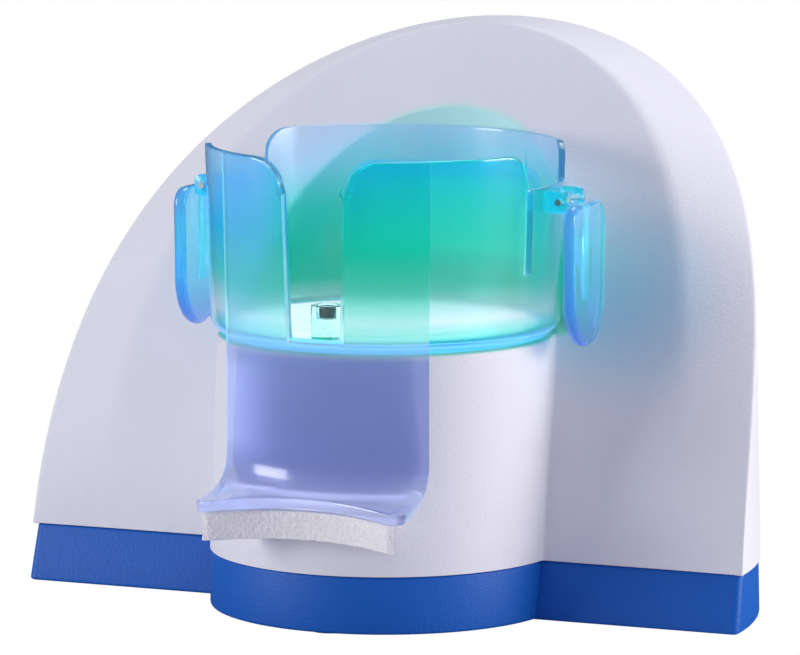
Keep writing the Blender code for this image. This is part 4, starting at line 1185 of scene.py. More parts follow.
        column_radius[floor_row + np.arange(3)] -= shrink
        column = self.middle(depth, height, np.asarray(sizes.column(height)), niche=False)
        rounded = self.middle(depth, column_height, column_radius, niche=False)
        fade = smoothstep(5, 16, np.arange(column.shape[1]))[:, None]
        column += (rounded - column) * fade
        niche = self.middle(depth, height, np.full_like(height, sizes.niche_radius), niche=True)
        below = np.arange(len(rows)) <= floor_row + 3
        column[floor_row + 3] = column[floor_row + 2] * (1 - fade * np.array([0.01, 0.01, 0.0]))
        centre = np.where(below[:, None, None], column, niche)
        narrow = inner[:, 0] < edge[:, 0] + 1e-9
        centre[..., 0] = np.where(
            narrow[:, None], np.minimum(centre[..., 0], inner[:, :1]), centre[..., 0]
        )
        half = np.concatenate([right, centre], axis=1)
        other = half[:, -2::-1] * np.array([-1.0, 1.0, 1.0])
        points = np.concatenate([half, other], axis=1)
        count = points.shape[1]
        flat = points.reshape(-1, 3) + np.array([0.0, sizes.axis_y, 0.0])
        faces = grid_faces(len(rows), count).reshape(len(rows) - 1, -1, 4)
        return flat, np.delete(faces, floor_row + 3, axis=0).reshape(-1, 4)

    def lay_floor(self, shell: bpy.types.Object) -> None:
        """Closes the hole that the niche's floor leaves in the skin with one flat face."""
        skin = bmesh.new()
        skin.from_mesh(shell.data)
        level = self.sizes.niche_floor
        rim = [
            edge
            for edge in skin.edges
            if edge.is_boundary and max(abs(vert.co.z - level) for vert in edge.verts) < 0.01 * MM
        ]
        laid = bmesh.ops.holes_fill(skin, edges=rim, sides=0)["faces"]
        bmesh.ops.triangulate(skin, faces=laid)
        skin.to_mesh(shell.data)
        skin.free()

    def window_cutter(self) -> bpy.types.Object:
        """A rounded bar that opens the window through the niche's rear wall."""
        sizes = self.sizes
        loop, _ = rounded_loop(sizes.window_width, sizes.window_height, sizes.window_corner, 8)
        depth = np.array([[30 * MM], [90 * MM]]) + sizes.axis_y + 0 * loop[:, 0]
        height = loop[:, 1] + sizes.window_middle + 0 * depth
        ring = np.stack([loop[:, 0] + 0 * depth, depth, height], -1)
        caps = ring.mean(axis=1, keepdims=True) + 0 * ring
        points = np.concatenate([caps[:1], ring, caps[1:]]).reshape(-1, 3)
        faces = outward(points, grid_faces(4, len(loop), closed=True))
        return new_piece("window_cutter", points, faces)

    def build(self, finish: bpy.types.Material) -> bpy.types.Object:
        """Builds the shell, opens its window, and dresses it."""
        points, faces = self.surface()
        shell = new_piece("housing_skin", points, faces)
        self.lay_floor(shell)
        back = max(shell.data.polygons, key=lambda face: face.center.y)
        if back.normal.y < 0:
            shell.data.flip_normals()
        thicken(shell, self.sizes.shell_wall)
        cutter = self.window_cutter()
        hole = shell.modifiers.new("window", "BOOLEAN")
        hole.solver = "EXACT"
        hole.object = cutter
        settle(shell, 38)
        bpy.data.objects.remove(cutter)
        shell.data.materials.clear()
        shell.data.materials.append(finish)
        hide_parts("housing_shell")
        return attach(shell, "housing")


@dataclass
class BaseTray:
    """The blue tray under the shell: the same plan, with a leaning front and rounded edges."""

    sizes: Sizes
    bottom: float = 1.3 * MM
    floor: float = 2.4 * MM
    wall: float = 2.4 * MM
    front_floor: float = -10.9 * MM
    front_seam: float = -5.0 * MM
    overhang: float = 0.7 * MM
    corner: float = 2.5 * MM

    def outline(self, height: Array, inset: Array) -> Array:
        """The plan's outline for each height and inset: nose arc, leaning front, half disc.

        Args:
            height: Heights, one for each row.
            inset: How far each row shrinks inwards.

        Returns:
            Points of shape (rows, points, 3), about the column's axis.
        """
        sizes = self.sizes
        height, inset = height[:, None], inset[:, None]
        share = (height - self.bottom) / (sizes.seam - self.bottom)
        front = self.front_floor + (self.front_seam - self.front_floor) * share + inset
        nose = sizes.column(height) - self.overhang - inset
        dip = np.arcsin(front / nose)
        turn = np.linspace(0, 1, 65)
        nose_angle = -math.pi - dip + (math.pi + 2 * dip) * turn
        radius = sizes.disc_radius - self.overhang - sizes.wall_draft * height - inset
        corner = np.maximum(self.corner - inset, 0.5 * MM)
        middle_y = front + corner
        middle_x = np.sqrt((radius - corner) ** 2 - (middle_y - sizes.disc_centre) ** 2)
        side = np.arctan2(middle_y - sizes.disc_centre, middle_x)
        small = np.linspace(0, 1, 9)
        right = -math.pi / 2 + (side + math.pi / 2) * small
        back = side + (math.pi - 2 * side) * np.linspace(0, 1, 182)[1:-1]
        left = math.pi - side + (side + math.pi / 2) * small
        x = [nose * np.cos(nose_angle), middle_x + corner * np.cos(right), radius * np.cos(back)]
        y = [
            nose * np.sin(nose_angle),
            middle_y + corner * np.sin(right),
            sizes.disc_centre + radius * np.sin(back),
        ]
        x = np.concatenate([*x, corner * np.cos(left) - middle_x], 1)
        y = np.concatenate([*y, middle_y + corner * np.sin(left)], 1)
        return np.stack([x, y, height + 0 * x], -1)

    def build(
        self, finish: bpy.types.Material, cutters: list[bpy.types.Object]
    ) -> bpy.types.Object:
        """Builds the tray, cuts its holes, and dresses it.

        Args:
            finish: Its material.
            cutters: Closed solids to take away; they are removed afterwards.

        Returns:
            The tray, riding on the housing.
        """
        top = self.sizes.seam - self.sizes.gap / 2
        inside = self.bottom + self.floor
        path = np.array(
            [
                (self.bottom, 60 * MM),
                (self.bottom, 12 * MM),
                (self.bottom, 1.1 * MM),
                (self.bottom + 0.25 * MM, 0.45 * MM),
                (self.bottom + 0.7 * MM, 0.1 * MM),
                (self.bottom + 1.2 * MM, 0.0),
                ((self.bottom + top) / 2, 0.0),
                (top - 0.9 * MM, 0.0),
                (top - 0.35 * MM, 0.1 * MM),
                (top - 0.08 * MM, 0.4 * MM),
                (top, 0.8 * MM),
                (top, self.wall),
                (inside, self.wall),
                (inside, 12 * MM),
                (inside, 60 * MM),
            ]
        )
        rings = self.outline(path[:, 0], path[:, 1].clip(max=12 * MM))
        for row, share in ((0, 0.0), (-1, 0.0)):
            hub = np.array([0.0, 20 * MM, rings[row, 0, 2]])
            rings[row] = hub + (rings[row] - hub) * share
        points = rings.reshape(-1, 3) + np.array([0.0, self.sizes.axis_y, 0.0])
        faces = outward(points, grid_faces(len(path), rings.shape[1], closed=True))
        tray = new_piece("base_tray_skin", points, faces)
        for cutter in cutters:
            cut = tray.modifiers.new(cutter.name, "BOOLEAN")
            cut.solver = "EXACT"
            cut.object = cutter
        settle(tray, 40)
        for cutter in cutters:
            bpy.data.objects.remove(cutter)
        tray.data.materials.clear()
        tray.data.materials.append(finish)
        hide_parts("base_tray")
        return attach(tray, "housing")


# ------------------------------------------------------------------ cup


@dataclass
class Cup:
    """The translucent cup: one sheet from rim to floor, with its cut-outs, thickened outwards."""

    sizes: Sizes
    side_drop: float = 12.5 * MM
    rear_angle: float = 113.0
    slot_angle: float = 75.5
    slot_width: float = 3.0 * MM
    slot_depth: float = 41.5 * MM
    rear_corner: float = 10.0 * MM
    wing_corner: float = 9.0 * MM
    ring_radii: tuple[float, ...] = (14 * MM, 30 * MM, 44 * MM)

    def columns(self) -> tuple[Array, Array]:
        """Where the sheet's columns stand, from the front round the right side to the back.

        Returns:
            Each column's segment (mouth, wing, slot, side, rear) and its share across it.
        """
        wing_length = 68.0 * MM
        mouth_side = corner_steps(self.sizes.mouth_corner) / wing_length
        slot_side = 1 - corner_steps(self.wing_corner)[::-1] / wing_length
        wing = np.concatenate(
            [mouth_side, np.linspace(mouth_side[-1], slot_side[0], 16)[1:-1], slot_side]
        )
        rear_side = corner_steps(self.rear_corner) / (70.0 * MM)
        rear = np.concatenate([rear_side, np.linspace(rear_side[-1], 1, 20)[1:]])
        shares = [np.linspace(0, 1, 5), wing, np.linspace(0, 1, 4), np.linspace(0, 1, 12), rear]
        segment = np.concatenate([np.full(len(s) - (i < 4), i) for i, s in enumerate(shares)])
        share = np.concatenate([s[:-1] if i < 4 else s for i, s in enumerate(shares)])
        return segment, share

    def angles(self, segment: Array, share: Array, height: Array, radius: Array) -> Array:
        """Each column's angle from the front, in radians, for each row."""
        mouth = np.arcsin(self.sizes.mouth_half(height) / radius)
        slot = math.radians(self.slot_angle)
        half = self.slot_width / 2 / self.sizes.cup_rim_radius
        rear = math.radians(self.rear_angle)
        knots = np.stack(
            [
                0 * mouth,
                mouth,
                slot - half + 0 * mouth,
                slot + half + 0 * mouth,
                rear + 0 * mouth,
                math.pi + 0 * mouth,
            ]
        )
        return knots[segment].T * (1 - share) + knots[segment + 1].T * share

    @staticmethod
    def corner_drop(distance: Array, radius: float) -> Array:
        """How far a rounded corner lies below its straight top at a distance from its side."""
        inside = np.clip(radius - distance, 0, radius)
        return radius - np.sqrt(radius**2 - inside**2)

    def build(self, finish: bpy.types.Material) -> bpy.types.Object:
        """Builds the cup's wall and ringed floor, and dresses it."""
        sizes = self.sizes
        rim, floor = sizes.cup_rim, sizes.cup_inside
        slot_foot = rim - self.slot_depth
        side_top = rim - self.side_drop
        bend = 1.8 * MM
        upper = np.linspace(rim, side_top, 9)
        middle = np.linspace(side_top, slot_foot, 9)[1:]
        lower = np.linspace(slot_foot, floor + bend, 5)[1:]
        turn = np.linspace(0, math.pi / 2, 5)[1:]
        wall_in = sizes.cup_foot_radius - sizes.cup_wall
        floor_radii = np.linspace(wall_in - bend, 0, 44)[1:]
        height = np.concatenate(
            [upper, middle, lower, floor + bend * (1 - np.sin(turn)), floor + 0 * floor_radii]
        )
        radius = np.asarray(sizes.cup_outside(height)) - sizes.cup_wall
        first_floor = len(upper) + len(middle) + len(lower)
        radius[first_floor : first_floor + 4] = wall_in - bend * (1 - np.cos(turn))
        radius[first_floor + 4 :] = floor_radii
        for ring in self.ring_radii:
            height[first_floor + 4 :] += 0.35 * MM * np.exp(
                -(((floor_radii - ring) / (0.9 * MM)) ** 2)
            )
        segment, share = self.columns()
        wall_radius = np.maximum(radius, wall_in)
        angle = self.angles(segment, share, np.minimum(height, rim), wall_radius)
        top = rim + 0 * share
        at_rim = angle[0]
        mouth_edge = np.arcsin(float(sizes.mouth_half(np.array(rim))) / wall_radius[0])
        slot_edge = math.radians(self.slot_angle) - self.slot_width / 2 / sizes.cup_rim_radius
        rear_edge = math.radians(self.rear_angle)
        wing = (at_rim >= mouth_edge - 1e-9) & (at_rim <= slot_edge + 1e-9)
        rear = at_rim >= rear_edge - 1e-9
        reach = wall_radius[0]
        top = top - np.where(
            wing, self.corner_drop((at_rim - mouth_edge) * reach, sizes.mouth_corner), 0
        )
        top = top - np.where(
            wing, self.corner_drop((slot_edge - at_rim) * reach, self.wing_corner), 0
        )
        top = top - np.where(
            rear, self.corner_drop((at_rim - rear_edge) * reach, self.rear_corner), 0
        )
        lift = (height[:9, None] - side_top) / (rim - side_top)
        z = height[:, None] + 0 * share
        z[:9] = side_top + lift * (top - side_top)
        x = radius[:, None] * np.sin(angle)
        y = -radius[:, None] * np.cos(angle)
        half = np.stack([x, y, z], -1)
        other = half[:, -2:0:-1] * np.array([-1.0, 1.0, 1.0])
        points = np.concatenate([half, other], axis=1)
        quad_segment = np.concatenate([segment[:-1], segment[:-1][::-1]])
        row_top = np.array([first_floor, 0, 16, 8, 0])
        row = np.arange(len(height) - 1)[:, None]
        keep = row >= row_top[quad_segment][None, :]
        faces = grid_faces(len(height), points.shape[1], closed=True, keep=keep)
        flat = points.reshape(-1, 3) + np.array([0.0, sizes.axis_y, 0.0])
        sheet = new_piece("cup_shell", flat, faces)
        floor_face = min(sheet.data.polygons, key=lambda face: face.center.z + abs(face.center.x))
        if floor_face.normal.z < 0:
            sheet.data.flip_normals()
        places = points_of(sheet)
        reach = np.hypot(places[:, 0], places[:, 1] - sizes.axis_y)
        on_floor = reach < wall_in - bend + 1e-5
        thicken(sheet, sizes.cup_floor, np.where(on_floor, 1.0, sizes.cup_wall / sizes.cup_floor))
        soften(sheet, 0.42 * MM, 2, 55)
        subdivide(sheet)
        settle(sheet, 60)
        sheet.data.materials.clear()
        sheet.data.materials.append(finish)
        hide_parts("cup")
        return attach(sheet, "cup")


@dataclass
class CupLugs:
    """The two pairs of lugs on the cup's sides that carry the ears' pins."""

    sizes: Sizes
    pivot_x: float = 67.4 * MM
    pivot_y: float = 2.2 * MM
    pivot_height: float = 146.6 * MM
    knuckle: float = 6.4 * MM
    space: float = 3.2 * MM
    thickness: float = 3.0 * MM
    half_height: float = 3.8 * MM
    outer_x: float = 70.1 * MM

    def build(self, finish: bpy.types.Material) -> list[bpy.types.Object]:
        """Builds each pair as two rounded plates, one each side of the pin, as one piece."""
        made = []
        loop, _ = rounded_loop(1.0, 1.0, 0.28, 6)
        for side, name in ((-1, "left"), (1, "right")):
            plates = []
            for way in (-1, 1):
                y = self.pivot_y + way * (self.knuckle / 2 + self.space + self.thickness / 2)
                inner = math.sqrt(
                    float(self.sizes.cup_outside(self.pivot_height)) ** 2 - y**2
                ) - 1.2 * MM
                width = self.outer_x - inner
                middle = side * (self.outer_x + inner) / 2
                layers = np.array([-1, -1, -0.82, 0.82, 1, 1]) * self.thickness / 2
                shrink = np.array([0.0, 0.9, 1.0, 1.0, 0.9, 0.0])
                x = middle + loop[:, 0] * width * shrink[:, None]
                z = self.pivot_height + loop[:, 1] * 2 * self.half_height * shrink[:, None]
                points = np.stack([x, y + layers[:, None] + 0 * x, z], -1).reshape(-1, 3)
                faces = outward(points, grid_faces(len(layers), len(loop), closed=True))
                plates.append((points + np.array([0.0, self.sizes.axis_y, 0.0]), faces))
            offset = len(plates[0][0])
            points = np.concatenate([plates[0][0], plates[1][0]])
            faces = np.concatenate([plates[0][1], plates[1][1] + offset])
            lugs = new_piece(f"cup_lugs_{name}", points, faces)
            settle(lugs, 50)
            lugs.data.materials.append(finish)
            made.append(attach(lugs, "cup"))
        return made


# ------------------------------------------------------------------ shield and pad


@dataclass
class Shield:
    """The front shield: a curved apron over the cup's front wall that bends out into a lip."""

    sizes: Sizes
    wall: float = 2.2 * MM
    half_angle: float = 36.6
    bend_top: float = 60.0 * MM
    lip_height: float = 47.0 * MM
    lip_crown: float = 2.0 * MM
    lip_half: float = 38.8 * MM
    lip_reach: float = 79.0 * MM
    lip_hollow: float = 8.0 * MM
    lip_round: float = 6 / 7
    lip_thickness: float = 3.8 * MM
    tip_round: float = 5.0 * MM

    def front(self, x: Array) -> Array:
        """The lip's front edge: y falls off with x squared, so its two ends reach furthest."""
        share = np.minimum(np.abs(x) / (self.lip_round * self.lip_half), 1.0)
        return -(self.lip_reach - self.lip_hollow) - self.lip_hollow * share**2

    def build(self, finish: bpy.types.Material) -> bpy.types.Object:
        """Builds the apron and lip as one grid, gives it its wall, and dresses it."""
        sizes = self.sizes
        rim, mouth_floor = sizes.cup_rim, sizes.cup_inside
        flare = rim - sizes.mouth_corner - 0.5 * MM
        upper = np.linspace(rim, flare, 9)
        middle = np.linspace(flare, mouth_floor, 10)[1:]
        lower = np.linspace(mouth_floor, self.bend_top, 9)[1:]
        levels = np.concatenate([upper, middle, lower])
        bend = 30
        wing_length = (math.radians(self.half_angle) - 0.19) * 65 * MM
        corner = 1 - corner_steps(sizes.mouth_corner)[::-1] / wing_length
        wing = np.concatenate([np.linspace(0, corner[0], 16)[:-1], corner])
        part = np.repeat([0, 1, 2], [len(wing), 8, len(wing)])
        share = np.concatenate([wing, np.linspace(0, 1, 10)[1:-1], 1 - wing[::-1]])
        outer = math.radians(self.half_angle)
        reach = np.asarray(
            sizes.cup_outside(np.maximum(levels, sizes.cup_bottom))
        ) + sizes.gap + self.wall
        mouth = np.arcsin(sizes.mouth_half(levels) / reach)[:, None]
        across = np.where(
            part == 0,
            -outer + share * (outer - mouth),
            np.where(part == 1, -mouth + 2 * mouth * share, mouth + share * (outer - mouth)),
        )
        drop = Cup.corner_drop(
            (np.abs(across[0]) - mouth[0]) * reach[0], sizes.mouth_corner
        )
        drop = np.where(part == 1, sizes.mouth_corner, drop)
        z = levels[:, None] + 0 * across
        z[:9] = flare + (z[:9] - flare) * (rim - drop - flare) / (rim - flare)
        wall_rows = np.stack(
            [reach[:, None] * np.sin(across), -reach[:, None] * np.cos(across), z], -1
        )
        wide = across[-1] / outer
        start = wall_rows[-1]
        x = wide * self.lip_half
        rounding = np.clip((np.abs(wide) - self.lip_round) / (1 - self.lip_round), 0, 1)
        tip_y = self.front(x) + self.tip_round * (1 - np.sqrt(np.maximum(1 - rounding**2, 0)))
        tip_z = self.lip_height + self.lip_crown * (1 - wide**2)
        tip = np.stack([x, tip_y, tip_z], -1)
        corner = np.stack([start[:, 0] * 0.6 + x * 0.4, start[:, 1], tip_z + 0.6 * MM], -1)
        t = np.linspace(0, 1, bend + 1)[1:, None, None]
        lip_rows = (1 - t) ** 2 * start + 2 * t * (1 - t) * corner + t**2 * tip
        ledge = smoothstep(0.50, 0.56, t[..., 0] + 0.1 * wide**2) * (
            1 - smoothstep(0.86, 0.92, t[..., 0])
        )
        ledge = ledge * (1 - smoothstep(0.80, 0.88, np.abs(wide)))
        lip_rows[..., 2] -= 0.6 * MM * ledge
        points = np.concatenate([wall_rows, lip_rows])
        count = points.shape[1]
        row = np.arange(len(points) - 1)[:, None]
        gap_quad = (part[:-1] == 1) | (part[1:] == 1)
        keep = (row >= len(upper) + len(middle) - 1) | ~gap_quad[None, :]
        faces = grid_faces(len(points), count, keep=keep)
        flat = points.reshape(-1, 3) + np.array([0.0, sizes.axis_y, 0.0])
        apron = new_piece("shield_apron", flat, faces)
        front_face = min(
            apron.data.polygons, key=lambda face: abs(face.center.z - 0.08) + abs(face.center.x)
        )
        if front_face.normal.y > 0:
            apron.data.flip_normals()
        low = np.clip(
            (self.bend_top - points_of(apron)[:, 2]) / (self.bend_top - self.lip_height - 1.5 * MM),
            0,
            1,
        )
        grown = self.wall + (self.lip_thickness - self.wall) * low**3
        thicken(apron, self.lip_thickness, grown / self.lip_thickness)
        soften(apron, 0.42 * MM, 2, 55)
        subdivide(apron)
        settle(apron, 60)
        apron.data.materials.clear()
        apron.data.materials.append(finish)
        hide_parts("front_shield")
        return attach(apron, "shield")


@dataclass
class FoamPad:
    """The pad under the lip: a slab of open-cell foam cut to the lip's curve."""

    shield: Shield
    thickness: float = 10.0 * MM
    inset: float = 3.4 * MM
    column_gap: float = 2.0 * MM
    roughness: float = 0.28 * MM

    def build(self, finish: bpy.types.Material) -> bpy.types.Object:
        """Sweeps a rounded slab section across the lip, then roughens it with cut cells.

        Each section is a rounded rectangle in depth and height, slightly hollow at the front
        where the foam pulls in under its glue line.
        """
        shield, sizes = self.shield, self.shield.sizes
        half = shield.lip_half - self.inset
        stations = 150
        x = half * np.linspace(-1, 1, stations)
        front = shield.front(x) + self.inset / 2
        inner = float(sizes.column(shield.lip_height)) + self.column_gap
        turn = math.atan2(half, -front[0]) * np.linspace(-1, 1, stations)
        near = np.stack([x, front], -1)
        far = inner * np.stack([np.sin(turn), -np.cos(turn)], -1)
        loop, _ = rounded_loop(1.0, 1.0, 0.06, 5)
        fine = np.linspace(0, 1, 130, endpoint=False)
        known = np.linspace(0, 1, len(loop), endpoint=False)
        loop = np.stack([np.interp(fine, known, loop[:, axis], period=1) for axis in range(2)], -1)
        top = shield.lip_height - shield.lip_thickness - sizes.gap
        crown = 0.8 * shield.lip_crown * (1 - (x / shield.lip_half) ** 2)
        pinch = 1 - 0.03 * (1 - (2 * loop[:, 1]) ** 2)
        across = ((near + far) / 2)[:, None] + (far - near)[:, None] * (
            loop[:, 0] * pinch
        )[None, :, None]
        z = top + crown[:, None] - self.thickness / 2 + loop[:, 1] * self.thickness
        points = np.concatenate([across, z[..., None]], -1)
        rings = [points]
        for end, way in ((0, -1), (-1, 1)):
            hub = points[end].mean(axis=0)
            caps = [hub + (points[end] - hub) * share for share in (0.97, 0.8, 0.6, 0.4, 0.2, 0.0)]
            caps = np.stack(caps)
            caps[..., 0] += way * 0.3 * MM
            rings = [caps[::-1], *rings] if way < 0 else [*rings, caps]
        points = np.concatenate(rings)
        flat = points.reshape(-1, 3) + np.array([0.0, sizes.axis_y, 0.0])
        faces = outward(flat, grid_faces(len(points), points.shape[1], closed=True))
        pad = new_piece("foam_cushion", flat, faces)
        cells = bpy.data.textures.new("foam_cells", "CLOUDS")
        cells.noise_scale = 1.1 * MM
        cells.noise_depth = 2
        rough = pad.modifiers.new("cells", "DISPLACE")
        rough.texture = cells
        rough.strength = self.roughness * 2
        rough.mid_level = 0.75
        settle(pad, 180)
        pad.data.materials.clear()
        pad.data.materials.append(finish)
        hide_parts("foam_pad")
        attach(pad, "shield")
        return pad


# ------------------------------------------------------------------ ears


@dataclass
class Ear:
    """A squeeze grip: a tongue-shaped paddle with a dished face, a tapering web and a knuckle."""

    lugs: CupLugs
    side: int
    thickness: float = 4.6 * MM
    face_x: float = 71.0 * MM
    front_y: float = -13.6 * MM
    rear_y: float = 18.0 * MM
    top: float = 146.0 * MM
    foot: float = 96.0 * MM
    corner: float = 6.0 * MM
    web_foot: float = 112.0 * MM
    knuckle_radius: float = 2.8 * MM

    def outline(self) -> Array:
        """The paddle's outline in YZ: rounded top corners, straight sides and a tapered foot."""
        half = (self.rear_y - self.front_y) / 2
        turn = np.linspace(0, math.pi / 2, 9)
        right = np.stack(
            [
                half - self.corner + self.corner * np.cos(turn),
                self.top - self.corner + self.corner * np.sin(turn),
            ],
            -1,
        )
        left = right[::-1] * np.array([-1.0, 1.0])
        shoulder = self.foot + 1.15 * half
        low = np.linspace(math.pi, 2 * math.pi, 41)
        bottom = np.stack(
            [half * 0.97 * np.cos(low), shoulder + (shoulder - self.foot) * np.sin(low)], -1
        )
        down = line_between(left[-1:], bottom[:1], 8)[0]
        up = line_between(bottom[-1:], right[:1], 8)[0]
        return np.concatenate([right, left, down, bottom, up]) + np.array([self.lugs.pivot_y, 0.0])

    def build(self, finish: bpy.types.Material) -> bpy.types.Object:
        """Builds the paddle, web and knuckle as one piece, and dresses it."""
        name = "left" if self.side < 0 else "right"
        outline = self.outline()
        centre = np.array([self.lugs.pivot_y, (self.top + self.foot) / 2 + 2 * MM])
        away = outline - centre
        length = np.linalg.norm(away, axis=1, keepdims=True)
        half = self.thickness / 2
        edge = 1.9 * MM
        turn = np.linspace(0, math.pi / 2, 6)
        inset = np.concatenate([[1.0, 0.7, 0.45], edge * (1 - np.sin(turn)) / MM])
        dish = 0.7 * MM
        rise = np.concatenate(
            [[half - dish, half - dish, half - dish * 0.8], half - edge * (1 - np.cos(turn))]
        )
        solid_rows = inset[3:] * MM
        rows = []
        for which, height in enumerate(rise):
            scale = 1 - inset[which] if which < 3 else None
            ring = centre + away * scale if scale is not None else centre + away * (
                1 - solid_rows[which - 3] / length
            )
            rows.append((ring, height))
        outer_rows = [(ring, height) for ring, height in rows]
        inner_rows = [
            (ring, -min(height + (dish if i < 2 else 0), half))
            for i, (ring, height) in enumerate(rows)
        ][::-1]
        rings = outer_rows + inner_rows
        middle_x = self.face_x + half
        points = np.stack(
            [
                np.stack(
                    [np.full(len(ring), self.side * (middle_x + height)), ring[:, 0], ring[:, 1]],
                    -1,
                )
                for ring, height in rings
            ]
        )
        flat = points.reshape(-1, 3)
        faces = outward(flat, grid_faces(len(rings), len(outline), closed=True))
        web_points, web_faces = self.web()
        points = np.concatenate([flat, web_points]) + np.array([0.0, self.lugs.sizes.axis_y, 0.0])
        faces = np.concatenate([faces, web_faces + len(flat)])
        ear = new_piece(f"ear_grip_{name}", points, faces)
        settle(ear, 40)
        ear.data.materials.append(finish)
        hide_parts(f"ear_{name}")
        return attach(ear, f"{name}_ear")

    def web(self) -> tuple[Array, Array]:
        """The web that tapers down the paddle's inner face, ending in the knuckle at its top."""
        lugs = self.lugs
        turn = np.linspace(math.pi * 0.5, math.pi * 1.28, 14)
        knuckle = np.stack(
            [
                lugs.pivot_x + self.knuckle_radius * np.cos(turn),
                lugs.pivot_height + self.knuckle_radius * np.sin(turn),
            ],
            -1,
        )
        tip = np.array(
            [[self.face_x + 1.0 * MM, self.web_foot], [self.face_x + 1.0 * MM, self.top - 2.5 * MM]]
        )
        slope = line_between(knuckle[-1:], tip[:1], 10)[0]
        shoulder = line_between(tip[1:], knuckle[:1], 4)[0]
        loop = np.concatenate([knuckle, slope, tip, shoulder])
        hub = loop.mean(axis=0)
        layers = np.array([-1, -1, -0.86, 0.86, 1, 1]) * lugs.knuckle / 2
        shrink = np.array([0.0, 0.93, 1.0, 1.0, 0.93, 0.0])[:, None, None]
        ring = hub + (loop - hub) * shrink
        x = self.side * ring[..., 0]
        y = lugs.pivot_y + layers[:, None] + 0 * x
        points = np.stack([x, y, ring[..., 1]], -1).reshape(-1, 3)
        return points, outward(points, grid_faces(len(layers), len(loop), closed=True))


# ------------------------------------------------------------------ window and post


@dataclass
class LightWindow:
    """The bezel and the diffuser, both curved with the niche's rear wall."""

    sizes: Sizes
    lap: float = 1.6 * MM
    rim: float = 3.5 * MM
    proud: float = 1.1 * MM

    def on_niche(self, flat: Array, radius: Array) -> Array:
        """Wraps (x, height) onto a cylinder of a radius about the column's axis."""
        x = flat[..., 0]
        y = np.sqrt(np.maximum(radius**2 - x**2, 0))
        return np.stack([x, y + self.sizes.axis_y, flat[..., 1] + self.sizes.window_middle], -1)

    def build_bezel(self, finish: bpy.types.Material) -> bpy.types.Object:
        """Carries the rim's rounded section round the window's outline."""
        sizes = self.sizes
        loop, normal = rounded_loop(
            sizes.window_width, sizes.window_height, sizes.window_corner, 14
        )
        face = sizes.niche_radius - sizes.gap
        section = np.array(
            [
                (self.lap, face),
                (self.lap, face - 0.5 * self.proud),
                (self.lap - 0.3 * MM, face - 0.88 * self.proud),
                (self.lap - 0.8 * MM, face - self.proud),
                (-self.rim + 0.9 * MM, face - self.proud),
                (-self.rim + 0.3 * MM, face - 0.85 * self.proud),
                (-self.rim, face - 0.4 * self.proud),
                (-self.rim, sizes.niche_radius + 3.9 * MM),
                (-sizes.gap, sizes.niche_radius + 3.9 * MM),
                (-sizes.gap, face),
            ]
        )
        flat = loop[None] + normal[None] * section[:, :1, None]
        points = self.on_niche(flat, section[:, 1:])
        closed = np.concatenate([points, points[:1]])
        flat_points = closed.reshape(-1, 3)
        faces = outward(flat_points, grid_faces(len(closed), len(loop), closed=True))
        bezel = new_piece("window_frame", flat_points, faces)
        settle(bezel, 50)
        bezel.data.materials.append(finish)
        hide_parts("window_bezel")
        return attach(bezel, "housing")

    def build_diffuser(self, finish: bpy.types.Material) -> bpy.types.Object:
        """Fills the rim's opening with a curved plate, ring by ring from its middle."""
        sizes = self.sizes
        inset = self.rim + sizes.gap
        width, height = sizes.window_width - 2 * inset, sizes.window_height - 2 * inset
        loop, _ = rounded_loop(width, height, sizes.window_corner - inset, 8)
        front = sizes.niche_radius + 0.4 * MM
        back = front + 2.0 * MM
        scale = np.concatenate([np.linspace(0, 1, 13), np.linspace(1, 0, 13)])
        radius = np.concatenate([np.full(13, front), np.full(13, back)])
        points = self.on_niche(loop[None] * scale[:, None, None], radius[:, None])
        flat_points = points.reshape(-1, 3)
        faces = outward(flat_points, grid_faces(len(scale), len(loop), closed=True))
        pane = new_piece("window_pane", flat_points, faces)
        settle(pane, 50)
        pane.data.materials.append(finish)
        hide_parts("window_diffuser")
        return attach(pane, "housing")


@dataclass
class LocatingPost:
    """The clear post on the cup's floor, with a well for its magnet."""

    sizes: Sizes
    radius: float = 5.75 * MM
    height: float = 11.5 * MM
    well_radius: float = 3.3 * MM
    well_depth: float = 4.6 * MM

    def build(self, clear: bpy.types.Material, metal: bpy.types.Material) -> list[bpy.types.Object]:
        """Turns the post and its magnet about their shared axis."""
        low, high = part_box("locating_post")
        centre = np.array([(low.x + high.x) / 2, (low.y + high.y) / 2, 0.0])
        edge = 0.5 * MM
        top, foot = high.z, low.z
        profile = np.array(
            [
                (0, top - self.well_depth),
                (self.well_radius, top - self.well_depth),
                (self.well_radius, top - 0.3 * MM),
                (self.well_radius + 0.3 * MM, top),
                (self.radius - edge, top),
                (self.radius - 0.15 * edge, top - 0.3 * edge),
                (self.radius, top - edge),
                (self.radius, foot + 3 * edge),
                (self.radius, foot),
                (0, foot),
            ]
        )
        post = turned_piece("post_body", profile, centre, 72)
        settle(post, 40)
        post.data.materials.append(clear)
        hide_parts("locating_post")
        low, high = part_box("post_magnet")
        radius = (high.x - low.x) / 2
        edge = 0.3 * MM
        profile = np.array(
            [
                (0, high.z),
                (radius - edge, high.z),
                (radius - 0.1 * MM, high.z - 0.1 * MM),
                (radius, high.z - edge),
                (radius, low.z + edge),
                (radius - edge, low.z),
                (0, low.z),
            ]
        )
        magnet = turned_piece("magnet_slug", profile, centre, 48)
        settle(magnet, 50)
        magnet.data.materials.append(metal)
        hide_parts("post_magnet")
        return [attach(post, "cup"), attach(magnet, "cup")]


# ------------------------------------------------------------------ carried-over parts


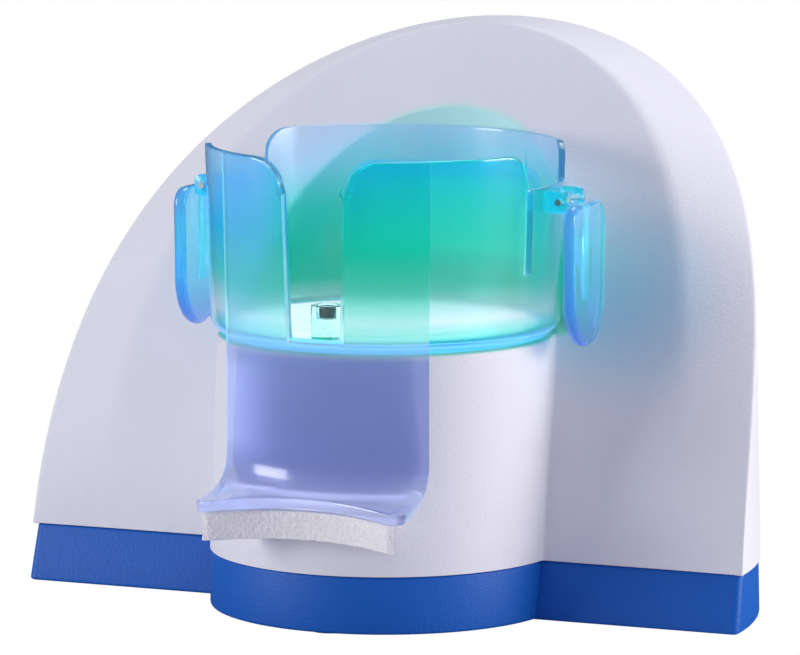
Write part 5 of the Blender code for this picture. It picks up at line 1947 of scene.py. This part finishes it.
@dataclass
class SmallParts:
    """The frame's own small nodes: sealed inner parts, sockets, fasteners and feet."""

    frame: dict[str, Any]
    finishes: dict[str, bpy.types.Material]

    def dress(self) -> int:
        """Gives every node that still shows the finish of its material slot.

        Returns:
            How many nodes were dressed.
        """
        slots = {
            entry["node"]: entry["material_slot"] for entry in self.frame["record"]["subparts"]
        }
        count = 0
        for name, node in sorted(self.frame["nodes"].items()):
            finish = self.finishes.get(slots[name])
            if finish is None:
                continue
            node.data.materials.clear()
            node.data.materials.append(finish)
            count += 1
        return count


# ------------------------------------------------------------------ studio


@dataclass
class Studio:
    """The floor, the lamps, the world and the camera."""

    sizes: Sizes
    distance: float = 2.035
    azimuth: float = 23.0
    elevation: float = 10.81
    tilt: float = 8.055
    heading: float = 22.855
    lens: float = 259.8

    def camera(self) -> None:
        """Places the camera: back from the column's foot along its azimuth and elevation."""
        azimuth, elevation = math.radians(self.azimuth), math.radians(self.elevation)
        data = bpy.data.cameras.new("view")
        data.lens = self.lens
        data.sensor_width = 36.0
        data.clip_end = 20.0
        data.clip_start = 0.05
        camera = bpy.data.objects.new("view", data)
        camera.location = (
            self.distance * math.sin(azimuth) * math.cos(elevation),
            self.sizes.axis_y - self.distance * math.cos(azimuth) * math.cos(elevation),
            self.distance * math.sin(elevation),
        )
        camera.rotation_euler = (
            math.pi / 2 - math.radians(self.tilt), 0.0, math.radians(self.heading)
        )
        bpy.context.scene.collection.objects.link(camera)
        bpy.context.scene.camera = camera

    def lamp(
        self, name: str, place: tuple[float, float, float], size: float, power: float, colour: str
    ) -> None:
        """Hangs a square soft lamp that faces the unit's middle."""
        data = bpy.data.lights.new(name, "AREA")
        data.shape = "SQUARE"
        data.size = size
        data.energy = power
        data.color = linear(colour)[:3]
        lamp = bpy.data.objects.new(name, data)
        lamp.location = place
        way = Vector((0.0, 0.0, 0.1)) - Vector(place)
        lamp.rotation_euler = way.to_track_quat("-Z", "Y").to_euler()
        bpy.context.scene.collection.objects.link(lamp)

    def build(self) -> None:
        """Builds the stage, and sets the plain view transform."""
        scene = bpy.context.scene
        scene.view_settings.view_transform = "Standard"
        self.camera()
        self.lamp("right", (1.5, 0.26, 0.4), 0.7, 17.5, "FFFAF6")
        self.lamp("left", (-1.25, -1.0, 0.45), 0.7, 12.8, "FFFDFB")
        self.lamp("top", (0.1, 0.55, 1.5), 0.9, 10.0, "FFFFFF")
        world = bpy.data.worlds.new("studio")
        scene.world = world
        world.use_nodes = True
        tree = world.node_tree
        tree.nodes.clear()
        path = add_node(tree, "LightPath")
        seen = add_node(
            tree,
            "Math",
            {0: path.outputs["Is Camera Ray"], 1: path.outputs["Is Transmission Ray"]},
            operation="MAXIMUM",
        )
        colour = add_node(
            tree,
            "Mix",
            {0: seen.outputs[0], 6: linear("9093AA"), 7: (1.0, 1.0, 1.0, 1.0)},
            data_type="RGBA",
        )
        glossy = add_node(
            tree,
            "Math",
            {0: path.outputs["Is Glossy Ray"], 1: seen.outputs[0]},
            operation="SUBTRACT",
            use_clamp=True,
        )
        mirrored = add_node(tree, "Mix", {0: glossy.outputs[0], 2: 1.0, 3: 0.25})
        background = add_node(
            tree, "Background", {"Color": colour.outputs[2], "Strength": mirrored.outputs[0]}
        )
        output = add_node(tree, "OutputWorld")
        tree.links.new(background.outputs[0], output.inputs[0])
        self.floor()

    def floor(self) -> None:
        """Lays the pale floor: white to the camera and through clear parts, a pale grey matt face
        to the light that bounces off it.
        """
        bpy.ops.mesh.primitive_plane_add(size=12.0, location=(0.0, 0.0, -0.0002))
        floor = bpy.context.object
        floor.name = "bench_top"
        floor.visible_glossy = False
        made, tree, shader, place = blank("bench_top_white")
        cloud = add_node(tree, "TexNoise", {"Vector": place, "Scale": 3.0})
        tint = ramp(tree, cloud.outputs["Fac"], [(0.3, "D2D2DA"), (0.7, "D6D6DE")])
        tree.links.new(tint, shader.inputs["Base Color"])
        shader.inputs["Roughness"].default_value = 0.9
        path = add_node(tree, "LightPath")
        glow = add_node(
            tree,
            "Math",
            {0: path.outputs["Is Camera Ray"], 1: path.outputs["Is Transmission Ray"]},
            operation="MAXIMUM",
        )
        bright = add_node(tree, "Emission", {"Color": (1.0, 1.0, 1.0, 1.0), "Strength": 1.0})
        mix = add_node(
            tree, "MixShader", {0: glow.outputs[0], 1: shader.outputs[0], 2: bright.outputs[0]}
        )
        tree.links.new(mix.outputs[0], tree.nodes["Material Output"].inputs["Surface"])
        floor.data.materials.append(made)


# ------------------------------------------------------------------ main


def tray_cutters() -> list[bpy.types.Object]:
    """Solids that open the tray for the inlet, the switch and the case screws' heads."""
    made = []
    low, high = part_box("power_inlet")
    middle = np.array([(low.x + high.x) / 2, 0.0, (low.z + high.z) / 2])
    radius = 4.9 * MM
    ends = (high.y - 8 * MM, high.y + 6 * MM)
    profile = np.array([(0, ends[0]), (radius, ends[0]), (radius, ends[1]), (0, ends[1])])
    made.append(turned_piece("inlet_cutter", profile, middle, 48, "Y"))
    low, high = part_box("switch_case")
    loop, _ = rounded_loop(high.x - low.x + 0.6 * MM, high.z - low.z + 0.6 * MM, 0.6 * MM, 4)
    depths = np.array([high.y - 7 * MM, high.y - 7 * MM, high.y + 6 * MM, high.y + 6 * MM])
    scale = np.array([0.0, 1.0, 1.0, 0.0])[:, None]
    x = (low.x + high.x) / 2 + loop[:, 0] * scale
    z = (low.z + high.z) / 2 + loop[:, 1] * scale
    points = np.stack([x, depths[:, None] + 0 * x, z], -1).reshape(-1, 3)
    made.append(
        new_piece("switch_cutter", points, outward(points, grid_faces(4, len(loop), closed=True)))
    )
    for index in range(1, 5):
        low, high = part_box(f"case_screw_{index}")
        middle = np.array([(low.x + high.x) / 2, (low.y + high.y) / 2, 0.0])
        profile = np.array([(0, 0), (3.3 * MM, 0), (3.3 * MM, 3.2 * MM), (0, 3.2 * MM)])
        made.append(turned_piece(f"screw_cutter_{index}", profile, middle, 32))
    return made


def make_finishes(sizes: Sizes) -> dict[str, bpy.types.Material]:
    """Every material slot's finish, by the slot's name."""
    low, high = sizes.cup_bottom, sizes.cup_rim
    window = (0.0, sizes.axis_y + sizes.niche_radius, sizes.window_middle)
    # The lighter lowest stops paint a highlight on the lip; the glow ramp is painted light.
    apron_tints_and_lip_highlight = [(0.0, "CCD2EC"), (0.1, "B2BCE2"), (0.42, "B4C0E2")]
    apron_painted_glow = [(0.0, "BCC2D8"), (0.06, "7C86AC"), (0.14, "6470A0"), (0.42, "6876A4")]
    built = {
        "housing_white_abs": LitHousing(
            "textured_white_abs", "E8E7EC", 0.55, 0.9, 0.14, Grain.LEATHER, axis_y=sizes.axis_y
        ),
        "base_blue_abs": MouldedPlastic(
            "textured_blue_abs", "005EBE", 0.5, 0.9, 0.16, Grain.LEATHER, specular=0.35
        ),
        # Painted light in the cup's ramps: the green of the window's light behind and at the front
        # right, and a white band where the floor shows through; its glow is painted too.
        "cup_translucent_teal": FrostedPolycarbonate(
            "frosted_teal_polycarbonate",
            [
                (0.0, "40CCDC"),
                (0.1, "B4E8EC"),
                (0.17, "FCF8F8"),
                (0.34, "92EAE2"),
                (0.6, "54DCF6"),
                (1.0, "C4E4F6"),
            ],
            [
                (0.0, "04B0C4"),
                (0.1, "50BCC0"),
                (0.17, "C8D4D4"),
                (0.36, "2CC4B4"),
                (0.65, "04B0E0"),
                (1.0, "88B4D8"),
            ],
            low,
            high,
            glow=0.14,
            floor_height=sizes.cup_inside,
            floor_radius=56 * MM,
            axis_y=sizes.axis_y,
            edge="10ACCC",
            edge_glow=0.3,
            rear=Zone(
                [
                    (0.0, "64D4D4"),
                    (0.08, "E4F6F4"),
                    (0.17, "6CEAD4"),
                    (0.55, "8CECE4"),
                    (0.8, "D8ECF6"),
                    (1.0, "DCE8F4"),
                ],
                [
                    (0.0, "0CA8A8"),
                    (0.08, "C4DCDC"),
                    (0.17, "04B89C"),
                    (0.5, "10B4A8"),
                    (0.8, "6CA0C0"),
                    (1.0, "94A8C4"),
                ],
            ),
            right=Zone(
                [
                    (0.0, "40D4C4"),
                    (0.1, "B4ECE0"),
                    (0.17, "FCF6F2"),
                    (0.34, "A8ECDC"),
                    (0.6, "78ECDC"),
                    (1.0, "50E4EC"),
                ],
                [
                    (0.0, "04B8A4"),
                    (0.1, "50C0AC"),
                    (0.17, "C8D0C8"),
                    (0.34, "68C0B0"),
                    (0.6, "40B4AC"),
                    (1.0, "10B0C0"),
                ],
            ),
        ),
        # Painted light in the shield's ramps: the window's teal light at the right, a white band at
        # the cup's floor, and a painted highlight on the lip and the apron's left side.
        "shield_translucent_violet": FrostedPolycarbonate(
            "frosted_violet_polycarbonate",
            [*apron_tints_and_lip_highlight, (0.47, "ECF8F8"), (0.6, "BCEEF0"), (1.0, "C4E8F8")],
            [*apron_painted_glow, (0.47, "78A8A0"), (0.6, "108C90"), (1.0, "3C80A4")],
            46 * MM,
            high,
            glow=0.16,
            depth_colour="8490D8",
            density=45.0,
            axis_y=sizes.axis_y,
            edge="A4DCEC",
            edge_glow=0.42,
            upright_edges=True,
            right=Zone(
                [
                    *apron_tints_and_lip_highlight,
                    (0.47, "F0FAF6"),
                    (0.62, "A4ECDC"),
                    (0.74, "48ECD8"),
                    (1.0, "48E4EC"),
                ],
                [
                    *apron_painted_glow,
                    (0.47, "90B4A8"),
                    (0.62, "50A898"),
                    (0.74, "009C88"),
                    (1.0, "008CA0"),
                ],
            ),
            rim_height=49.5 * MM,
            painted_side_light="C4CAE4",
        ),
        # The ears' glow is painted light.
        "ear_translucent_cyan": FrostedPolycarbonate(
            "polished_cyan_polycarbonate",
            [(0.0, "B0C4EE"), (0.3, "B8E8F6"), (0.7, "C0F0F4"), (1.0, "C4ECF6")],
            [(0.0, "6C86C8"), (0.3, "48B0D4"), (0.7, "50C8D4"), (1.0, "68BCD8")],
            96 * MM,
            146 * MM,
            roughness=0.08,
            glow=0.2,
            depth_colour="1890E8",
            density=60.0,
        ),
        "foam_pad_white": OpenCellFoam("open_cell_foam"),
        "clear_acrylic": ClearAcrylic("polished_acrylic"),
        "magnet_nickel": WorkedMetal("nickel_plate", "5A5D63", 0.2),
        # The bezel's glow is painted window light.
        "bezel_cyan": FrostedPolycarbonate(
            "satin_cyan_polycarbonate",
            [(0.0, "30C8B8"), (1.0, "50CCDC")],
            [(0.0, "12B9A6"), (1.0, "28BCD8")],
            115 * MM,
            154 * MM,
            transmission=0.3,
            glow=0.35,
        ),
        "window_diffuser_green": LitDiffuser("satin_diffuser", window),
        "circuit_board": CircuitBoard("green_solder_resist"),
        "led_dome": LitDiffuser("milky_led_dome", window, "BFEFD8", "E8FFF4", 1.0),
        "aluminium_sink": WorkedMetal("extruded_aluminium", "B4B8BE", 0.32, 0.5),
        "chip_epoxy": MouldedPlastic(
            "black_moulding_epoxy", "1C1D20", 0.45, 0.25, 0.01, Grain.SATIN
        ),
        "capacitor_sleeve": MouldedPlastic("shrunk_sleeve", "23304F", 0.3, 0.6, 0.008, Grain.SATIN),
        "connector_nylon": MouldedPlastic("natural_nylon", "E8E3D2", 0.45, 0.4, 0.01, Grain.SATIN),
        "socket_nylon": MouldedPlastic("black_nylon", "1A1B1E", 0.48, 0.5, 0.02),
        "screw_zinc": WorkedMetal("zinc_plate", "BFC2C8", 0.28),
        "stainless_pin": WorkedMetal("ground_stainless", "DCE0E4", 0.5),
        "foot_rubber": MouldedPlastic("moulded_rubber", "27282B", 0.85, 0.7, 0.03),
        "wire_sleeve": MouldedPlastic("wire_sleeve_pvc", "2B2E33", 0.5, 0.5, 0.01, Grain.SATIN),
    }
    return {slot: finish.build() for slot, finish in built.items()}


def main() -> None:
    """Loads the frame, builds and dresses each piece, and sets the studio."""
    logging.basicConfig(level=logging.INFO, format="%(name)s: %(message)s")
    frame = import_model()
    low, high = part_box("ear_pin_right")
    sizes = Sizes(axis_y=(low.y + high.y) / 2 - 2.2 * MM)
    finishes = make_finishes(sizes)
    LOG.info("dressed %d frame nodes", SmallParts(frame, finishes).dress())
    LOG.info("built %s", Housing(sizes).build(finishes["housing_white_abs"]).name)
    tray = BaseTray(sizes).build(finishes["base_blue_abs"], tray_cutters())
    LOG.info("built %s", tray.name)
    LOG.info("built %s", Cup(sizes).build(finishes["cup_translucent_teal"]).name)
    lugs = CupLugs(sizes)
    for piece in lugs.build(finishes["cup_translucent_teal"]):
        LOG.info("built %s", piece.name)
    shield = Shield(sizes)
    LOG.info("built %s", shield.build(finishes["shield_translucent_violet"]).name)
    LOG.info("built %s", FoamPad(shield).build(finishes["foam_pad_white"]).name)
    for side in (-1, 1):
        LOG.info("built %s", Ear(lugs, side).build(finishes["ear_translucent_cyan"]).name)
    window = LightWindow(sizes)
    LOG.info("built %s", window.build_bezel(finishes["bezel_cyan"]).name)
    LOG.info("built %s", window.build_diffuser(finishes["window_diffuser_green"]).name)
    for piece in LocatingPost(sizes).build(finishes["clear_acrylic"], finishes["magnet_nickel"]):
        LOG.info("built %s", piece.name)
    Studio(sizes).build()


if __name__ == "__main__":
    main()
